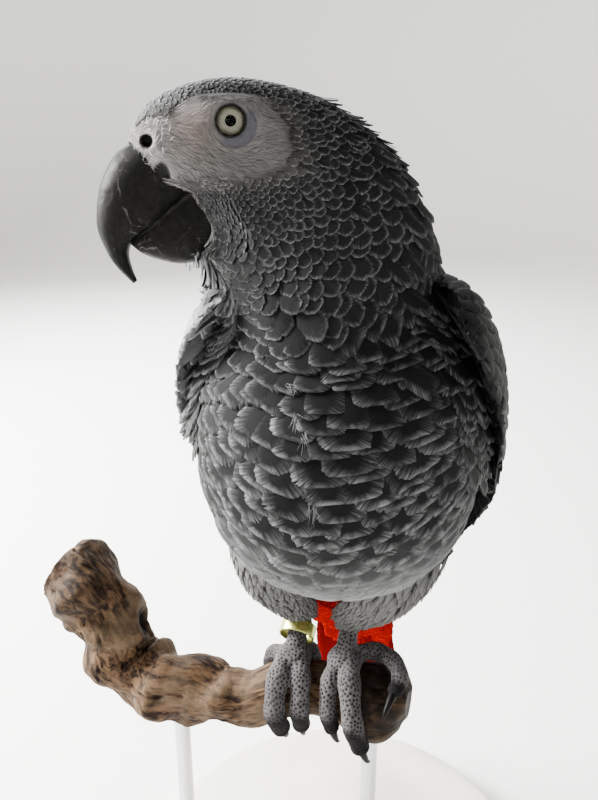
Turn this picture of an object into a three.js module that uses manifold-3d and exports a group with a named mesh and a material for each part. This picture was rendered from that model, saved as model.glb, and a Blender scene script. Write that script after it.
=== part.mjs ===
// A life-size grey parrot gripping a cut length of branch, held over the floor by a plain display stand.
// Millimetres, +Z up. The bird's trunk faces -Y and its left side is +X. The origin is on the underside
// of the stand's base, straight below the parrot's trunk.
import * as THREE from "three";
import { mergeVertices } from "three/addons/utils/BufferGeometryUtils.js";
import Module from "manifold-3d";

// ---- driving dimensions -----------------------------------------------------------------------------
const GAP = 0.3; // clearance between neighbouring pieces
const BASE = { radius: 78, thickness: 12, bevel: 1.5, shiftY: 16 };
const ROD = { radius: 3, seat: 5, socket: 9, places: [-60, 13] }; // places along the branch
const GRIP_HEIGHT = 120; // the top of the branch, where the feet hold it, above the floor
const AROUND = 22; // segments round the body
const FLATNESS = 0.16; // how far a facet may stand off its curve

// Everything below is in the bird's frame: x = 0 is the plane of its trunk, and z = 0 the top of the branch.
const HEAD = { yaw: 72, pivot: [-6, 8.8], eyeForward: 28.4, eyeHeight: 184.6, eyeSide: 12.4, eyeRadius: 5.6 };
const TAIL = { root: [-2.5, 46, 14], tip: [-2.5, 93, -86], blades: 5, spread: 3, width: 17, thick: 1.2 };
const RING = { radius: 5.7, wall: 0.8, height: 4.8, along: 0.42, tilt: 6, lean: 16 };

// The branch: a gnarled length with a knob at its right end, slim and nearly round where the feet hold it,
// and bending up to the cut at its left end. Each station is the middle of the wood and its radius.
const PERCH = [
  [[26.5, 1.5, -10.6], 5.5],
  [[23.5, 1.8, -10.6], 10.2],
  [[13.5, 3, -12.0], 13.6],
  [[3, 4, -11.4], 10.8],
  [[-8, 4, -11.0], 9.6],
  [[-19, 3, -12.4], 10.4],
  [[-30, 1.5, -17], 9.6],
  [[-41, 1, -19], 10.2],
  [[-54, 2, -17.4], 12.6],
  [[-68, 4, -19.5], 12.8],
  [[-80, 6, -16], 13.2],
  [[-87.5, 8, -6], 12.9],
  [[-92, 10, 4.5], 13.8],
  [[-99, 12, 12.5], 15.2],
  [[-109, 15, 17], 14.6],
];
const GRIPPED = { middle: -5, half: 24 }; // where along x the wood is smooth

// Each toe runs over the branch: [degrees round from its top, towards the front; place along x] at each
// joint. The two outer toes of a foot point backwards.
const FEET = {
  right: {
    x: -15.2,
    thigh: [-21, 2, 58],
    toes: {
      toe_1: { radius: 3.0, joints: [[-8, -14], [-42, -11.5], [-78, -10.8], [-104, -10.5]] },
      toe_2: { radius: 3.7, joints: [[4, -13.2], [40, -11.2], [85, -10.4], [136, -10.4]] },
      toe_3: { radius: 4.0, joints: [[4, -17], [40, -18.9], [85, -18.8], [142, -17.5]] },
      toe_4: { radius: 3.2, joints: [[-6, -18], [-34, -24.5], [-70, -27], [-106, -26.5]] },
    },
  },
  left: {
    x: 3.2,
    thigh: [21, 2, 58],
    toes: {
      toe_1: { radius: 2.9, joints: [[-8, 2.5], [-42, 0], [-78, -1], [-102, -1.5]] },
      toe_2: { radius: 3.2, joints: [[4, 1.2], [40, -0.7], [85, -0.2], [118, 1.4]] },
      toe_3: { radius: 3.8, joints: [[4, 4.8], [40, 6.6], [85, 9.2], [124, 12.4]] },
      toe_4: { radius: 3.2, joints: [[-12, 6], [-26, 13], [-14, 20], [14, 23.4], [42, 21.5]] },
    },
  },
};
const ANKLE = [0, 15, 15.5]; // from the foot's place on the branch
const CLAW = { radius: 1.6, length: 9.5, hook: 5 };

// The body is lofted through these sections, from the face to the vent. Each stands in a plane through the
// vertical pivot line at (px, py), turned by yaw to the bird's right. crest is its upper or back point, keel
// its lower or breast point, both as [distance forward, height], side its half width, and low how much
// wider it is towards the keel.
const HEAD_PIVOT = HEAD.pivot;
const SECTIONS = [
  // name, yaw, pivot, crest, keel, side, low
  ["face", 72, HEAD_PIVOT, [57.5, 180.5], [38, 148.0], 10.0, 0.05],
  ["brow", 72, HEAD_PIVOT, [52.0, 188.8], [35.5, 144.5], 14.4, 0.08],
  ["eyes", 72, HEAD_PIVOT, [40.5, 194.4], [34.0, 142.0], 17.4, 0.15],
  ["crown", 72, HEAD_PIVOT, [27.0, 196.2], [33.0, 140.5], 19.6, 0.2],
  ["ears", 72, HEAD_PIVOT, [13.0, 194.2], [32.0, 138.5], 21.6, 0.18],
  ["hind_crown", 72, HEAD_PIVOT, [0.5, 190.0], [31.0, 137.0], 23.2, 0.15],
  ["occiput", 72, HEAD_PIVOT, [-10.0, 183.0], [31.0, 135.5], 24.6, 0.1],
  ["nape", 70, HEAD_PIVOT, [-20.0, 174.4], [31.0, 133.5], 26.4, 0.05],
  ["neck_top", 62, [-5, 8.5], [-26.0, 164.5], [31.5, 130.5], 28.2, 0.04],
  ["neck_mid", 46, [-3.5, 8], [-29.5, 154.5], [33.0, 126.5], 28.8, 0.03],
  ["neck_low", 24, [-2, 6.5], [-34.0, 145.5], [37.0, 121.0], 30.5, 0.02],
  ["shoulder", 6, [-0.5, 3], [-43.0, 137.5], [40.5, 114.5], 36.5, 0],
  ["breast_top", 0, [0, 0], [-50.0, 126.0], [45.5, 102.0], 43.0, 0],
  ["breast", 0, [0, 0], [-54.0, 110.5], [47.5, 88.0], 45.0, 0],
  ["keel", 0, [0, 0], [-57.0, 94.0], [45.5, 73.5], 45.0, 0],
  ["belly", 0, [0, 0], [-59.5, 77.0], [39.5, 60.0], 43.0, 0],
  ["flank", 0, [0, 0], [-61.0, 60.0], [29.5, 49.5], 38.5, 0],
  ["hip", 0, [0, 0], [-62.0, 44.0], [17.0, 41.5], 32.5, 0],
  ["vent", 0, [0, 0], [-62.5, 29.0], [3.0, 33.5], 25.5, 0],
  ["rump", 0, [0, 0], [-62.5, 15.0], [-11.0, 19.0], 19.0, 0],
  ["tail_coverts", 0, [0, 0], [-63.5, 2.0], [-25.0, 6.0], 14.0, 0],
  ["covert_tips", 0, [0, 0], [-66.5, -10.0], [-38.0, -9.0], 9.5, 0],
];

// Folded wing, left side: front edge, back edge, outward bulge of the chord and thickness at each section.
const WING_SECTIONS = [
  [[34, -17, 135], [25, 2, 140], 2, 5],
  [[42.5, -20, 123], [22, 29, 138], 5, 9],
  [[48.5, -13, 106], [14, 47, 126], 8.5, 11.5],
  [[50.5, -1, 87], [9, 57, 107], 10.5, 11.5],
  [[49, 13, 68], [6, 63.5, 87], 11, 11],
  [[43.5, 27, 49], [4.5, 68, 65], 9.5, 9],
  [[36.5, 39, 30], [3.5, 71, 42], 7.5, 7],
  [[29, 51, 11], [3.5, 74, 18], 5.5, 6],
  [[22, 61, -8], [4, 78, -4], 4, 5],
  [[15, 71, -28], [4, 83.5, -26], 3, 4],
  [[12, 80, -48], [6, 89, -47], 2, 3],
];
const PRIMARIES_FROM = 0.56; // share of the wing's length where the primaries leave the coverts

// The bill, in the head's frame: [forward, up] from the eye, outer edge then cutting edge, and half width.
const UPPER_BILL = [
  [[24.0, -5.0], [8.0, -17.0], 6.8],
  [[30.4, -6.2], [13.5, -20.0], 8.2],
  [[36.4, -15.0], [19.5, -25.5], 8.2],
  [[39.2, -23.0], [24.8, -30.4], 7.4],
  [[39.6, -30.0], [29.2, -33.0], 6.0],
  [[37.8, -36.2], [31.0, -37.4], 4.6],
  [[34.8, -41.6], [30.8, -41.8], 3.0],
  [[30.4, -46.4], [29.0, -45.4], 1.1],
];
const LOWER_BILL = [
  [[9.0, -21.0], [2.5, -29.0], 6.6],
  [[14.5, -22.0], [5.5, -36.0], 8.2],
  [[19.0, -26.0], [12.5, -40.6], 8.4],
  [[23.0, -29.8], [19.5, -40.8], 7.6],
  [[26.0, -32.6], [25.0, -38.6], 6.0],
  [[27.8, -34.4], [28.2, -36.6], 4.2],
];

// ---- geometry helpers -------------------------------------------------------------------------------
const wasm = await Module();
wasm.setup();

const radians = THREE.MathUtils.degToRad;
const point = (p) => new THREE.Vector3(...p);

// A closed surface swept through rows of points: place(t, angle) with t from 0 to 1 and a pole at each end.
function loft(rows, columns, place) {
  const positions = [];
  const index = [];
  for (let row = 0; row <= rows; row++)
    for (let column = 0; column < columns; column++)
      positions.push(...place(row / rows, (column / columns) * Math.PI * 2));
  const middle = (row) => {
    const sum = new THREE.Vector3();
    for (let column = 0; column < columns; column++)
      sum.add(new THREE.Vector3().fromArray(positions, (row * columns + column) * 3));
    return sum.divideScalar(columns);
  };
  const poles = [middle(0), middle(rows)];
  const first = positions.length / 3;
  for (const pole of poles) positions.push(pole.x, pole.y, pole.z);
  for (let column = 0; column < columns; column++) {
    const next = (column + 1) % columns;
    for (let row = 0; row < rows; row++) {
      const [a, b] = [row * columns + column, row * columns + next];
      index.push(a, b, a + columns, b, b + columns, a + columns);
    }
    index.push(first, next, column);
    index.push(first + 1, rows * columns + column, rows * columns + next);
  }
  const geometry = new THREE.BufferGeometry();
  geometry.setAttribute("position", new THREE.Float32BufferAttribute(positions, 3));
  geometry.setIndex(index);
  return geometry;
}

// A three.js geometry as a manifold-3d solid, turned the right way out.
function solid(geometry) {
  const bare = geometry.clone();
  bare.deleteAttribute("normal");
  bare.deleteAttribute("uv");
  const merged = mergeVertices(bare, 1e-4);
  const vertProperties = new Float32Array(merged.attributes.position.array);
  const triVerts = new Uint32Array(merged.index.array);
  const made = new wasm.Manifold(new wasm.Mesh({ numProp: 3, vertProperties, triVerts }));
  if (made.volume() > 0) return made;
  for (let i = 0; i < triVerts.length; i += 3)
    [triVerts[i + 1], triVerts[i + 2]] = [triVerts[i + 2], triVerts[i + 1]];
  return new wasm.Manifold(new wasm.Mesh({ numProp: 3, vertProperties, triVerts }));
}

function geometryOf(body) {
  const mesh = body.getMesh();
  const positions = new Float32Array(mesh.numVert * 3);
  for (let i = 0; i < mesh.numVert; i++)
    positions.set(mesh.vertProperties.subarray(i * mesh.numProp, i * mesh.numProp + 3), i * 3);
  const geometry = new THREE.BufferGeometry();
  geometry.setAttribute("position", new THREE.BufferAttribute(positions, 3));
  geometry.setIndex(new THREE.BufferAttribute(mesh.triVerts, 1));
  geometry.computeVertexNormals();
  return geometry;
}

// The largest piece of a cut solid, without the slivers that a boolean can leave.
const largest = (body) => body.decompose().sort((a, b) => b.volume() - a.volume())[0];
const cut = (body, ...others) => largest(others.reduce((left, other) => left.subtract(other), body));
const join = (...bodies) => bodies.reduce((whole, body) => whole.add(body));

// Splits a solid by a plane through a point, leaving the gap between the two pieces.
function split(body, at, normal) {
  const n = normal.clone().normalize();
  const level = at.dot(n);
  const above = body.trimByPlane(n.toArray(), level + GAP / 2);
  const below = body.trimByPlane(n.clone().negate().toArray(), -level + GAP / 2);
  return [largest(below), largest(above)];
}

// A smooth reading of a list of numbers, each the same quantity at evenly spaced stations.
function smooth(values) {
  const curve = new THREE.CatmullRomCurve3(values.map((v) => new THREE.Vector3(v, 0, 0)));
  return (t) => curve.getPoint(Math.min(Math.max(t, 0), 1)).x;
}

function smoothPoints(points) {
  const curve = new THREE.CatmullRomCurve3(points);
  return (t) => curve.getPoint(Math.min(Math.max(t, 0), 1));
}

// ---- the body ---------------------------------------------------------------------------------------
// The way a yaw faces: 0 is -Y, and it turns towards -X, the bird's right.
const facing = (yaw) => new THREE.Vector3(-Math.sin(radians(yaw)), -Math.cos(radians(yaw)), 0);
const leftOf = (forward) => new THREE.Vector3(-forward.y, forward.x, 0);
const standing = ([px, py], yaw, [forward, height]) =>
  new THREE.Vector3(px, py, height).addScaledVector(facing(yaw), forward);

const crestAt = smoothPoints(SECTIONS.map(([, yaw, pivot, crest]) => standing(pivot, yaw, crest)));
const keelAt = smoothPoints(SECTIONS.map(([, yaw, pivot, , keel]) => standing(pivot, yaw, keel)));
const yawAt = smooth(SECTIONS.map(([, yaw]) => yaw));
const sideAt = smooth(SECTIONS.map((section) => section[5]));
const lowAt = smooth(SECTIONS.map((section) => section[6]));
const stationOf = (name) => SECTIONS.findIndex(([found]) => found === name) / (SECTIONS.length - 1);

// A point of the body's surface, grown outwards by more millimetres. Angle 0 is the keel, a quarter its left.
function onBody(t, angle, more = 0) {
  const [crest, keel] = [crestAt(t), keelAt(t)];
  const centre = crest.clone().add(keel).multiplyScalar(0.5);
  const up = crest.clone().sub(keel).multiplyScalar(0.5);
  const left = leftOf(facing(yawAt(t)));
  const boxy = 1 - 0.13 * (1 - THREE.MathUtils.smoothstep(t, 0.08, 0.4));
  const [c, s] = [Math.cos(angle), Math.sin(angle)].map((v) => Math.sign(v) * Math.abs(v) ** boxy);
  const side = sideAt(t) * (1 + lowAt(t) * c) + more;
  const deep = (up.length() + more) / up.length();
  return centre.addScaledVector(up, -c * deep).addScaledVector(left, s * side);
}

const body = (more = 0) => solid(loft(30, AROUND, (t, angle) => onBody(t, angle, more)));

function splitBody(whole) {
  const cutAt = (name) => {
    const t = stationOf(name);
    const [crest, keel] = [crestAt(t), keelAt(t)];
    const across = leftOf(facing(yawAt(t)));
    return [crest.clone().add(keel).multiplyScalar(0.5), crest.clone().sub(keel).cross(across)];
  };
  const [head, below] = split(whole, ...cutAt("nape"));
  const [neck, trunk] = split(below, ...cutAt("shoulder"));
  return { head, neck, trunk };
}

// ---- head furniture ---------------------------------------------------------------------------------
const headForward = facing(HEAD.yaw);
const headLeft = leftOf(headForward);
const inHead = (forward, up, side = 0) =>
  new THREE.Vector3(...HEAD.pivot, HEAD.eyeHeight + up)
    .addScaledVector(headForward, HEAD.eyeForward + forward)
    .addScaledVector(headLeft, side);

function eye(side, more = 0) {
  const ball = new THREE.SphereGeometry(HEAD.eyeRadius + more, 14, 8);
  const at = inHead(0, 0, side * HEAD.eyeSide);
  return solid(ball.translate(at.x, at.y, at.z));
}

// A half of the bill, lofted through its stations; roof keeps the section's outer edge round.
function bill(stations, more = 0) {
  const outer = smoothPoints(stations.map(([[f, u]]) => inHead(f, u)));
  const inner = smoothPoints(stations.map(([, [f, u]]) => inHead(f, u)));
  const half = smooth(stations.map(([, , width]) => width));
  return solid(
    loft(11, 12, (t, angle) => {
      const [a, b] = [outer(t), inner(t)];
      const centre = a.clone().add(b).multiplyScalar(0.5);
      const up = a.sub(b).multiplyScalar(0.5);
      const grow = (up.length() + more) / up.length();
      return centre
        .addScaledVector(up, Math.cos(angle) * grow)
        .addScaledVector(headLeft, Math.sin(angle) * (half(t) + more));
    }),
  );
}

// ---- wings and tail ---------------------------------------------------------------------------------
function wing(side) {
  const mirror = ([x, y, z]) => new THREE.Vector3(x * side, y, z);
  const front = smoothPoints(WING_SECTIONS.map(([f]) => mirror(f)));
  const back = smoothPoints(WING_SECTIONS.map(([, b]) => mirror(b)));
  const bulge = smooth(WING_SECTIONS.map((section) => section[2]));
  const thick = smooth(WING_SECTIONS.map((section) => section[3]));
  return solid(
    loft(14, 12, (t, angle) => {
      const [a, b] = [front(t), back(t)];
      const chord = b.clone().sub(a);
      const along = front(t + 0.02).sub(front(t - 0.02));
      const out = along.cross(chord).multiplyScalar(side).normalize();
      const share = (1 - Math.cos(angle)) / 2;
      const lift = 4 * share * (1 - share) * bulge(t) + (Math.sin(angle) * thick(t)) / 2;
      return a.addScaledVector(chord, share).addScaledVector(out, lift);
    }),
  );
}

// One tail feather: a blade with a rounded tip, hung from the origin along -Z and facing +Y.
function tailBlade(length, width, more) {
  const outline = new THREE.Shape();
  const tip = width * 0.5;
  outline.moveTo(-width * 0.2, 0);
  outline.lineTo(width * 0.2, 0);
  outline.lineTo(tip, -length * 0.45);
  outline.lineTo(tip, -length + tip * 0.8);
  outline.absellipse(0, -length + tip * 0.8, tip, tip * 0.8, 0, -Math.PI, true, 0);
  outline.lineTo(-tip, -length * 0.45);
  const thick = TAIL.thick + more * 2;
  const blade = new THREE.ExtrudeGeometry(outline, { depth: thick, bevelEnabled: false, curveSegments: 2 });
  return blade.translate(0, 0, -thick / 2).rotateX(Math.PI / 2);
}

// The tail: blades fanned in a shallow arch, the middle pair on top.
function tail(more = 0) {
  const [root, tip] = [point(TAIL.root), point(TAIL.tip)];
  const length = root.distanceTo(tip);
  const lean = Math.atan2(tip.y - root.y, root.z - tip.z);
  const blades = [];
  for (let i = 0; i < TAIL.blades; i++)
    for (const side of [-1, 1]) {
      const share = (i + 0.35) / TAIL.blades;
      const place = new THREE.Matrix4()
        .makeTranslation(root.x + side * share * 7, root.y, root.z)
        .multiply(new THREE.Matrix4().makeRotationX(lean))
        .multiply(new THREE.Matrix4().makeTranslation(0, -share * 3.2, 0))
        .multiply(new THREE.Matrix4().makeRotationY(radians(-side * share * TAIL.spread)))
        .multiply(new THREE.Matrix4().makeRotationZ(radians(-side * share * 16)));
      const blade = tailBlade(length * (1 - 0.07 * share) + more, TAIL.width + more * 2, more);
      blades.push(solid(blade.applyMatrix4(place)));
    }
  return join(...blades);
}

// ---- the branch -------------------------------------------------------------------------------------
const perchLine = smoothPoints(PERCH.map(([middle]) => point(middle)));
const perchSize = smooth(PERCH.map(([, radius]) => radius));

// The wood's own radius at a place along the branch, with its lumps outside the gripped stretch.
function perchRadius(t, angle) {
  const { x, z } = perchLine(t);
  const smoothness = Math.exp(-(((x - GRIPPED.middle) / GRIPPED.half) ** 4));
  const along = x - 0.9 * z;
  const lumps = 1.1 * Math.sin(along * 0.2 + angle) + 0.9 * Math.sin(along * 0.31 - 2 * angle + 1.3);
  return perchSize(t) + (1 - smoothness) * lumps;
}

function perch(more = 0) {
  const across = new THREE.Vector3(0, 1, 0);
  return solid(
    loft(30, 12, (t, angle) => {
      const along = perchLine(t + 0.01).sub(perchLine(t - 0.01)).normalize();
      const up = new THREE.Vector3().crossVectors(across, along).normalize();
      const front = new THREE.Vector3().crossVectors(along, up);
      return perchLine(t)
        .addScaledVector(front, Math.sin(angle) * (perchRadius(t, angle) + more))
        .addScaledVector(up, Math.cos(angle) * (perchRadius(t, angle) + more))
        .addScaledVector(along, (t - 0.5) * 2 * more);
    }),
  );
}

// Where on the branch's length a place along x is; its level stretch is monotone in x.
function perchAt(x) {
  let [low, high] = [0, 0.7];
  for (let i = 0; i < 24; i++) {
    const middle = (low + high) / 2;
    if (perchLine(middle).x > x) low = middle;
    else high = middle;
  }
  return low;
}

// A point over the branch: degrees round from its top towards the front, at x, this far off the wood.
function overPerch(degrees, x, off) {
  const t = perchAt(x);
  const { y, z } = perchLine(t);
  const reach = perchSize(t) + off;
  return new THREE.Vector3(x, y - reach * Math.sin(radians(degrees)), z + reach * Math.cos(radians(degrees)));
}

// ---- legs -------------------------------------------------------------------------------------------
// A tube along a curve; radius(t) is its size along the curve.
function limb(points, radius, rows, columns) {
  const curve = new THREE.CatmullRomCurve3(points);
  const frames = curve.computeFrenetFrames(rows, false);
  return solid(
    loft(rows, columns, (t, angle) => {
      const i = Math.round(t * rows);
      return curve
        .getPointAt(t)
        .addScaledVector(frames.normals[i], Math.cos(angle) * radius(t))
        .addScaledVector(frames.binormals[i], Math.sin(angle) * radius(t));
    }),
  );
}

const ankleOf = ({ x }) => point(ANKLE).add(new THREE.Vector3(x, 0, 0));
const soleOf = ({ x }) => overPerch(-2, x, 4.6);

// The feathered thigh, from inside the flank down to the ankle.
function thigh(which) {
  const top = point(which.thigh);
  const ankle = ankleOf(which).add(new THREE.Vector3(0, -2.5, 1));
  const mid = top.clone().lerp(ankle, 0.5).add(new THREE.Vector3(Math.sign(top.x) * 4, -4, 0));
  return limb([top, mid, ankle], smooth([18, 16, 12.8, 9.6, 6.6]), 6, 14);
}

// The bare shank, sloping back from the foot to the ankle.
function shank(which, more = 0) {
  const [sole, ankle] = [soleOf(which), ankleOf(which)];
  const middle = sole.clone().lerp(ankle, 0.5).add(new THREE.Vector3(0, 0, 0.6));
  return limb([sole, middle, ankle], (t) => 4.6 - 1.2 * Math.sin(t * Math.PI) + more, 4, 8);
}

const toePath = ({ radius, joints }) => joints.map(([degrees, x]) => overPerch(degrees, x, radius * 1.04 + GAP));

function foot(which, more = 0) {
  const sole = soleOf(which);
  const pad = new THREE.SphereGeometry(1, 10, 7).scale(6.4 + more, 7.2 + more, 4.6 + more);
  const toes = Object.values(which.toes).map((toe) => {
    return limb(toePath(toe), (t) => toe.radius * (1.06 - 0.18 * t) + more, 7, 7);
  });
  return join(solid(pad.translate(sole.x, sole.y - 1, sole.z - 0.6)), shank(which, more), ...toes);
}

// The claw carries its toe's curve on round the wood and thins to a point.
function claw(toe, more = 0) {
  const [before, end] = toePath(toe).slice(-2);
  const ahead = end.clone().sub(before).normalize();
  const wood = perchLine(perchAt(end.x));
  const inwards = wood.sub(end).setX(0).normalize();
  const reach = (forward, hook) =>
    end.clone().addScaledVector(ahead, forward * CLAW.length).addScaledVector(inwards, hook * CLAW.hook);
  const points = [reach(-0.2, -0.1), reach(0.3, 0.02), reach(0.68, 0.36), reach(0.92, 0.9)];
  return limb(points, (t) => CLAW.radius * (1 - 0.75 * t) + more, 4, 5);
}

// A closed metal band, loose round the right shank; sleeve gives it as a solid plug that is a little wider.
function legRing(which, sleeve = false) {
  const { radius, wall, height, along, tilt, lean } = RING;
  const more = sleeve ? GAP : 0;
  const inner = sleeve ? 0 : radius;
  const profile = [
    [inner, -height / 2 - more],
    [radius + wall + more, -height / 2 - more],
    [radius + wall + more, height / 2 + more],
    [inner, height / 2 + more],
  ].map(([r, z]) => new THREE.Vector2(r, z));
  if (!sleeve) profile.push(profile[0].clone());
  const band = new THREE.LatheGeometry(profile, 24);
  const [sole, ankle] = [soleOf(which), ankleOf(which)];
  const axis = ankle.clone().sub(sole).normalize();
  axis.applyAxisAngle(new THREE.Vector3(1, 0, 0), radians(-lean)).applyAxisAngle(new THREE.Vector3(0, 1, 0), radians(tilt));
  const turn = new THREE.Quaternion().setFromUnitVectors(new THREE.Vector3(0, 1, 0), axis);
  const middle = sole.lerp(ankle, along).add(new THREE.Vector3(0, 0, 0.8));
  return solid(band.applyQuaternion(turn).translate(middle.x, middle.y, middle.z));
}

// ---- stand ------------------------------------------------------------------------------------------
const floorLevel = -GRIP_HEIGHT;

function standBase() {
  const { radius, thickness, bevel, shiftY } = BASE;
  const profile = [
    [0, 0],
    [radius - bevel, 0],
    [radius, bevel],
    [radius, thickness - bevel],
    [radius - bevel, thickness],
    [0, thickness],
  ].map(([r, z]) => new THREE.Vector2(r, z));
  const disc = new THREE.LatheGeometry(profile, 32).rotateX(Math.PI / 2);
  return solid(disc.translate(0, shiftY, floorLevel));
}

// A rod from its seat in the base up into its socket in the branch, at x.
function standRod(x, more = 0) {
  const t = perchAt(x);
  const { y, z } = perchLine(t);
  const bottom = floorLevel + BASE.thickness - ROD.seat - more;
  const top = z - perchSize(t) + ROD.socket + more;
  const rod = new THREE.CylinderGeometry(ROD.radius + more, ROD.radius + more, top - bottom, 14);
  return solid(rod.rotateX(Math.PI / 2).translate(x, y, (top + bottom) / 2));
}

// ---- colours ----------------------------------------------------------------------------------------
const finish = (color, roughness, metalness = 0) =>
  new THREE.MeshStandardMaterial({ color, roughness, metalness });
const MATERIALS = {
  plumage: finish(0x55585a, 0.85),
  face: finish(0xb9b4b0, 0.8),
  flight: finish(0x3a3d3d, 0.75),
  red: finish(0xb5200f, 0.7),
  bill: finish(0x1d1e1c, 0.45),
  claw: finish(0x22211f, 0.4),
  eye: finish(0xcfcdb4, 0.1),
  foot: finish(0x9a9695, 0.7),
  ring: finish(0xa9a43c, 0.35, 0.9),
  wood: finish(0x8a6a48, 0.75),
  base: finish(0xd9d6cf, 0.5),
  rod: finish(0xb9bbbd, 0.3, 0.9),
};

// ---- assembly ---------------------------------------------------------------------------------------
const specimen = new THREE.Group();
specimen.position.set(0, 0, GRIP_HEIGHT);

function add(name, shape, material) {
  const mesh = new THREE.Mesh(geometryOf(shape.simplify(FLATNESS)), MATERIALS[material]);
  mesh.name = name;
  specimen.add(mesh);
}

const eyes = { left: eye(1), right: eye(-1) };
const upperBill = bill(UPPER_BILL);
const lowerBill = cut(bill(LOWER_BILL), bill(UPPER_BILL, GAP));
const branch = cut(perch(), ...ROD.places.map((place) => standRod(place, GAP)));
const widerBranch = perch(GAP);
const bodyPlus = body(GAP);
const tailPlus = tail(GAP * 1.5).hull();

const { head, neck, trunk } = splitBody(body());
const headCut = cut(head, eye(1, GAP), eye(-1, GAP), bill(UPPER_BILL, GAP), bill(LOWER_BILL, GAP));
const wideFeet = Object.values(FEET).map((which) => foot(which, GAP));
const trunkCut = cut(trunk, tailPlus, ...wideFeet);
add("head", headCut, "face");
add("neck", neck, "plumage");
add("trunk", trunkCut, "plumage");
add("upper_bill", upperBill, "bill");
add("lower_bill", lowerBill, "bill");
add("eye_left", eyes.left, "eye");
add("eye_right", eyes.right, "eye");
add("tail", tail(), "red");

for (const [label, side] of [["left", 1], ["right", -1]]) {
  const folded = cut(wing(side), bodyPlus, tailPlus);
  const from = WING_SECTIONS[Math.round(PRIMARIES_FROM * (WING_SECTIONS.length - 1))];
  const next = WING_SECTIONS[Math.round(PRIMARIES_FROM * (WING_SECTIONS.length - 1)) + 1];
  const at = point(from[0]).multiply(new THREE.Vector3(side, 1, 1));
  const along = point(next[0]).sub(point(from[0])).multiply(new THREE.Vector3(side, 1, 1));
  const [covert, tip] = split(folded, at, along);
  add(`wing_${label}`, covert, "flight");
  add(`primaries_${label}`, tip, "flight");
}

const ringSleeve = legRing(FEET.right, true);
const legRingWider = ringSleeve.subtract(shank(FEET.right, 0.6));
const wings = [wing(1), wing(-1)];
let otherThigh = [];
for (const [label, which] of Object.entries(FEET)) {
  const feathers = cut(thigh(which), bodyPlus, ...otherThigh, foot(which, GAP), ringSleeve, ...wings, widerBranch);
  const claws = Object.entries(which.toes);
  const bare = foot(which).subtract(legRingWider);
  add(`thigh_${label}`, feathers, "plumage");
  add(`foot_${label}`, cut(bare, widerBranch, ...claws.map(([, toe]) => claw(toe, GAP))), "foot");
  for (const [name, toe] of claws) add(`claw_${label}_${name}`, cut(claw(toe), widerBranch), "claw");
  otherThigh = [thigh(which)];
}

add("leg_ring", legRing(FEET.right), "ring");
add("perch", branch, "wood");
add("stand_base", cut(standBase(), ...ROD.places.map((place) => standRod(place, GAP))), "base");
ROD.places.forEach((place, i) => add(`stand_rod_${i + 1}`, standRod(place), "rod"));

const parrot = new THREE.Group();
parrot.add(specimen);
export default parrot;
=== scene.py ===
"""A life-size grey parrot gripping a cut length of branch on a plain display stand: its looks.

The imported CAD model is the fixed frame. Shapes are worked out in millimetres in the bird's own frame, where
x = 0 is the plane of its trunk, -Y the way it faces, +X its left and z = 0 the top of the branch under its
feet. They are lifted to the floor's frame and turned to metres only as each mesh is made.
"""
import itertools
import math

import bpy
import numpy as np
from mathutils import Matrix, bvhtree, kdtree

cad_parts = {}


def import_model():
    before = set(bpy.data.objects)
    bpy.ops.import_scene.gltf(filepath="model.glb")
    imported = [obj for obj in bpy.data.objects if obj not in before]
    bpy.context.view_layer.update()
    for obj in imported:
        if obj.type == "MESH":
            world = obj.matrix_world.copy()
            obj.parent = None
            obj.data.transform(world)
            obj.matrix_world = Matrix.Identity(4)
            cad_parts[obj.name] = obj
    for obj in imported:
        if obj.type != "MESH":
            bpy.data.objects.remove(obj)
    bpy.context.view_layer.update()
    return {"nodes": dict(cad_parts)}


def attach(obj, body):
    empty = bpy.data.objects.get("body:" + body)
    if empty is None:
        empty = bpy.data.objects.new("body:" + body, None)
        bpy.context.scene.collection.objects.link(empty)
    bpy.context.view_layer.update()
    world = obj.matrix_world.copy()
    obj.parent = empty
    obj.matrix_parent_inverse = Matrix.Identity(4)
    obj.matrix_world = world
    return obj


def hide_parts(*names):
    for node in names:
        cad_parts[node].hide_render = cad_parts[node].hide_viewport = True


# ---- driving dimensions, in millimetres and degrees, as the CAD model has them -----------------------
MM = 0.001
GRIP_HEIGHT = 120
HEAD = {"yaw": 72, "pivot": (-6, 8.8), "forward": 28.4, "height": 184.6, "side": 12.4, "radius": 5.6}
TAIL = {"root": (-2.5, 46, 14), "tip": (-2.5, 93, -86), "feathers": 12, "width": 17, "fan": 3}
RING = {"radius": 5.7, "wall": 0.8, "height": 4.8, "along": 0.42, "tilt": 6, "lean": 16}
BASE = {"radius": 78, "thickness": 12, "bevel": 1.8, "shift": 16}
ROD = {"radius": 3, "seat": 5, "socket": 9, "places": (-60, 13)}
CLAW = {"radius": 1.6, "length": 9.5, "hook": 5}
EYE = {"iris": 4.3, "pupil": 1.45, "margin": 4.1, "columns": 120}
ANKLE = (0, 15, 15.5)
GAP = 0.3

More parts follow.
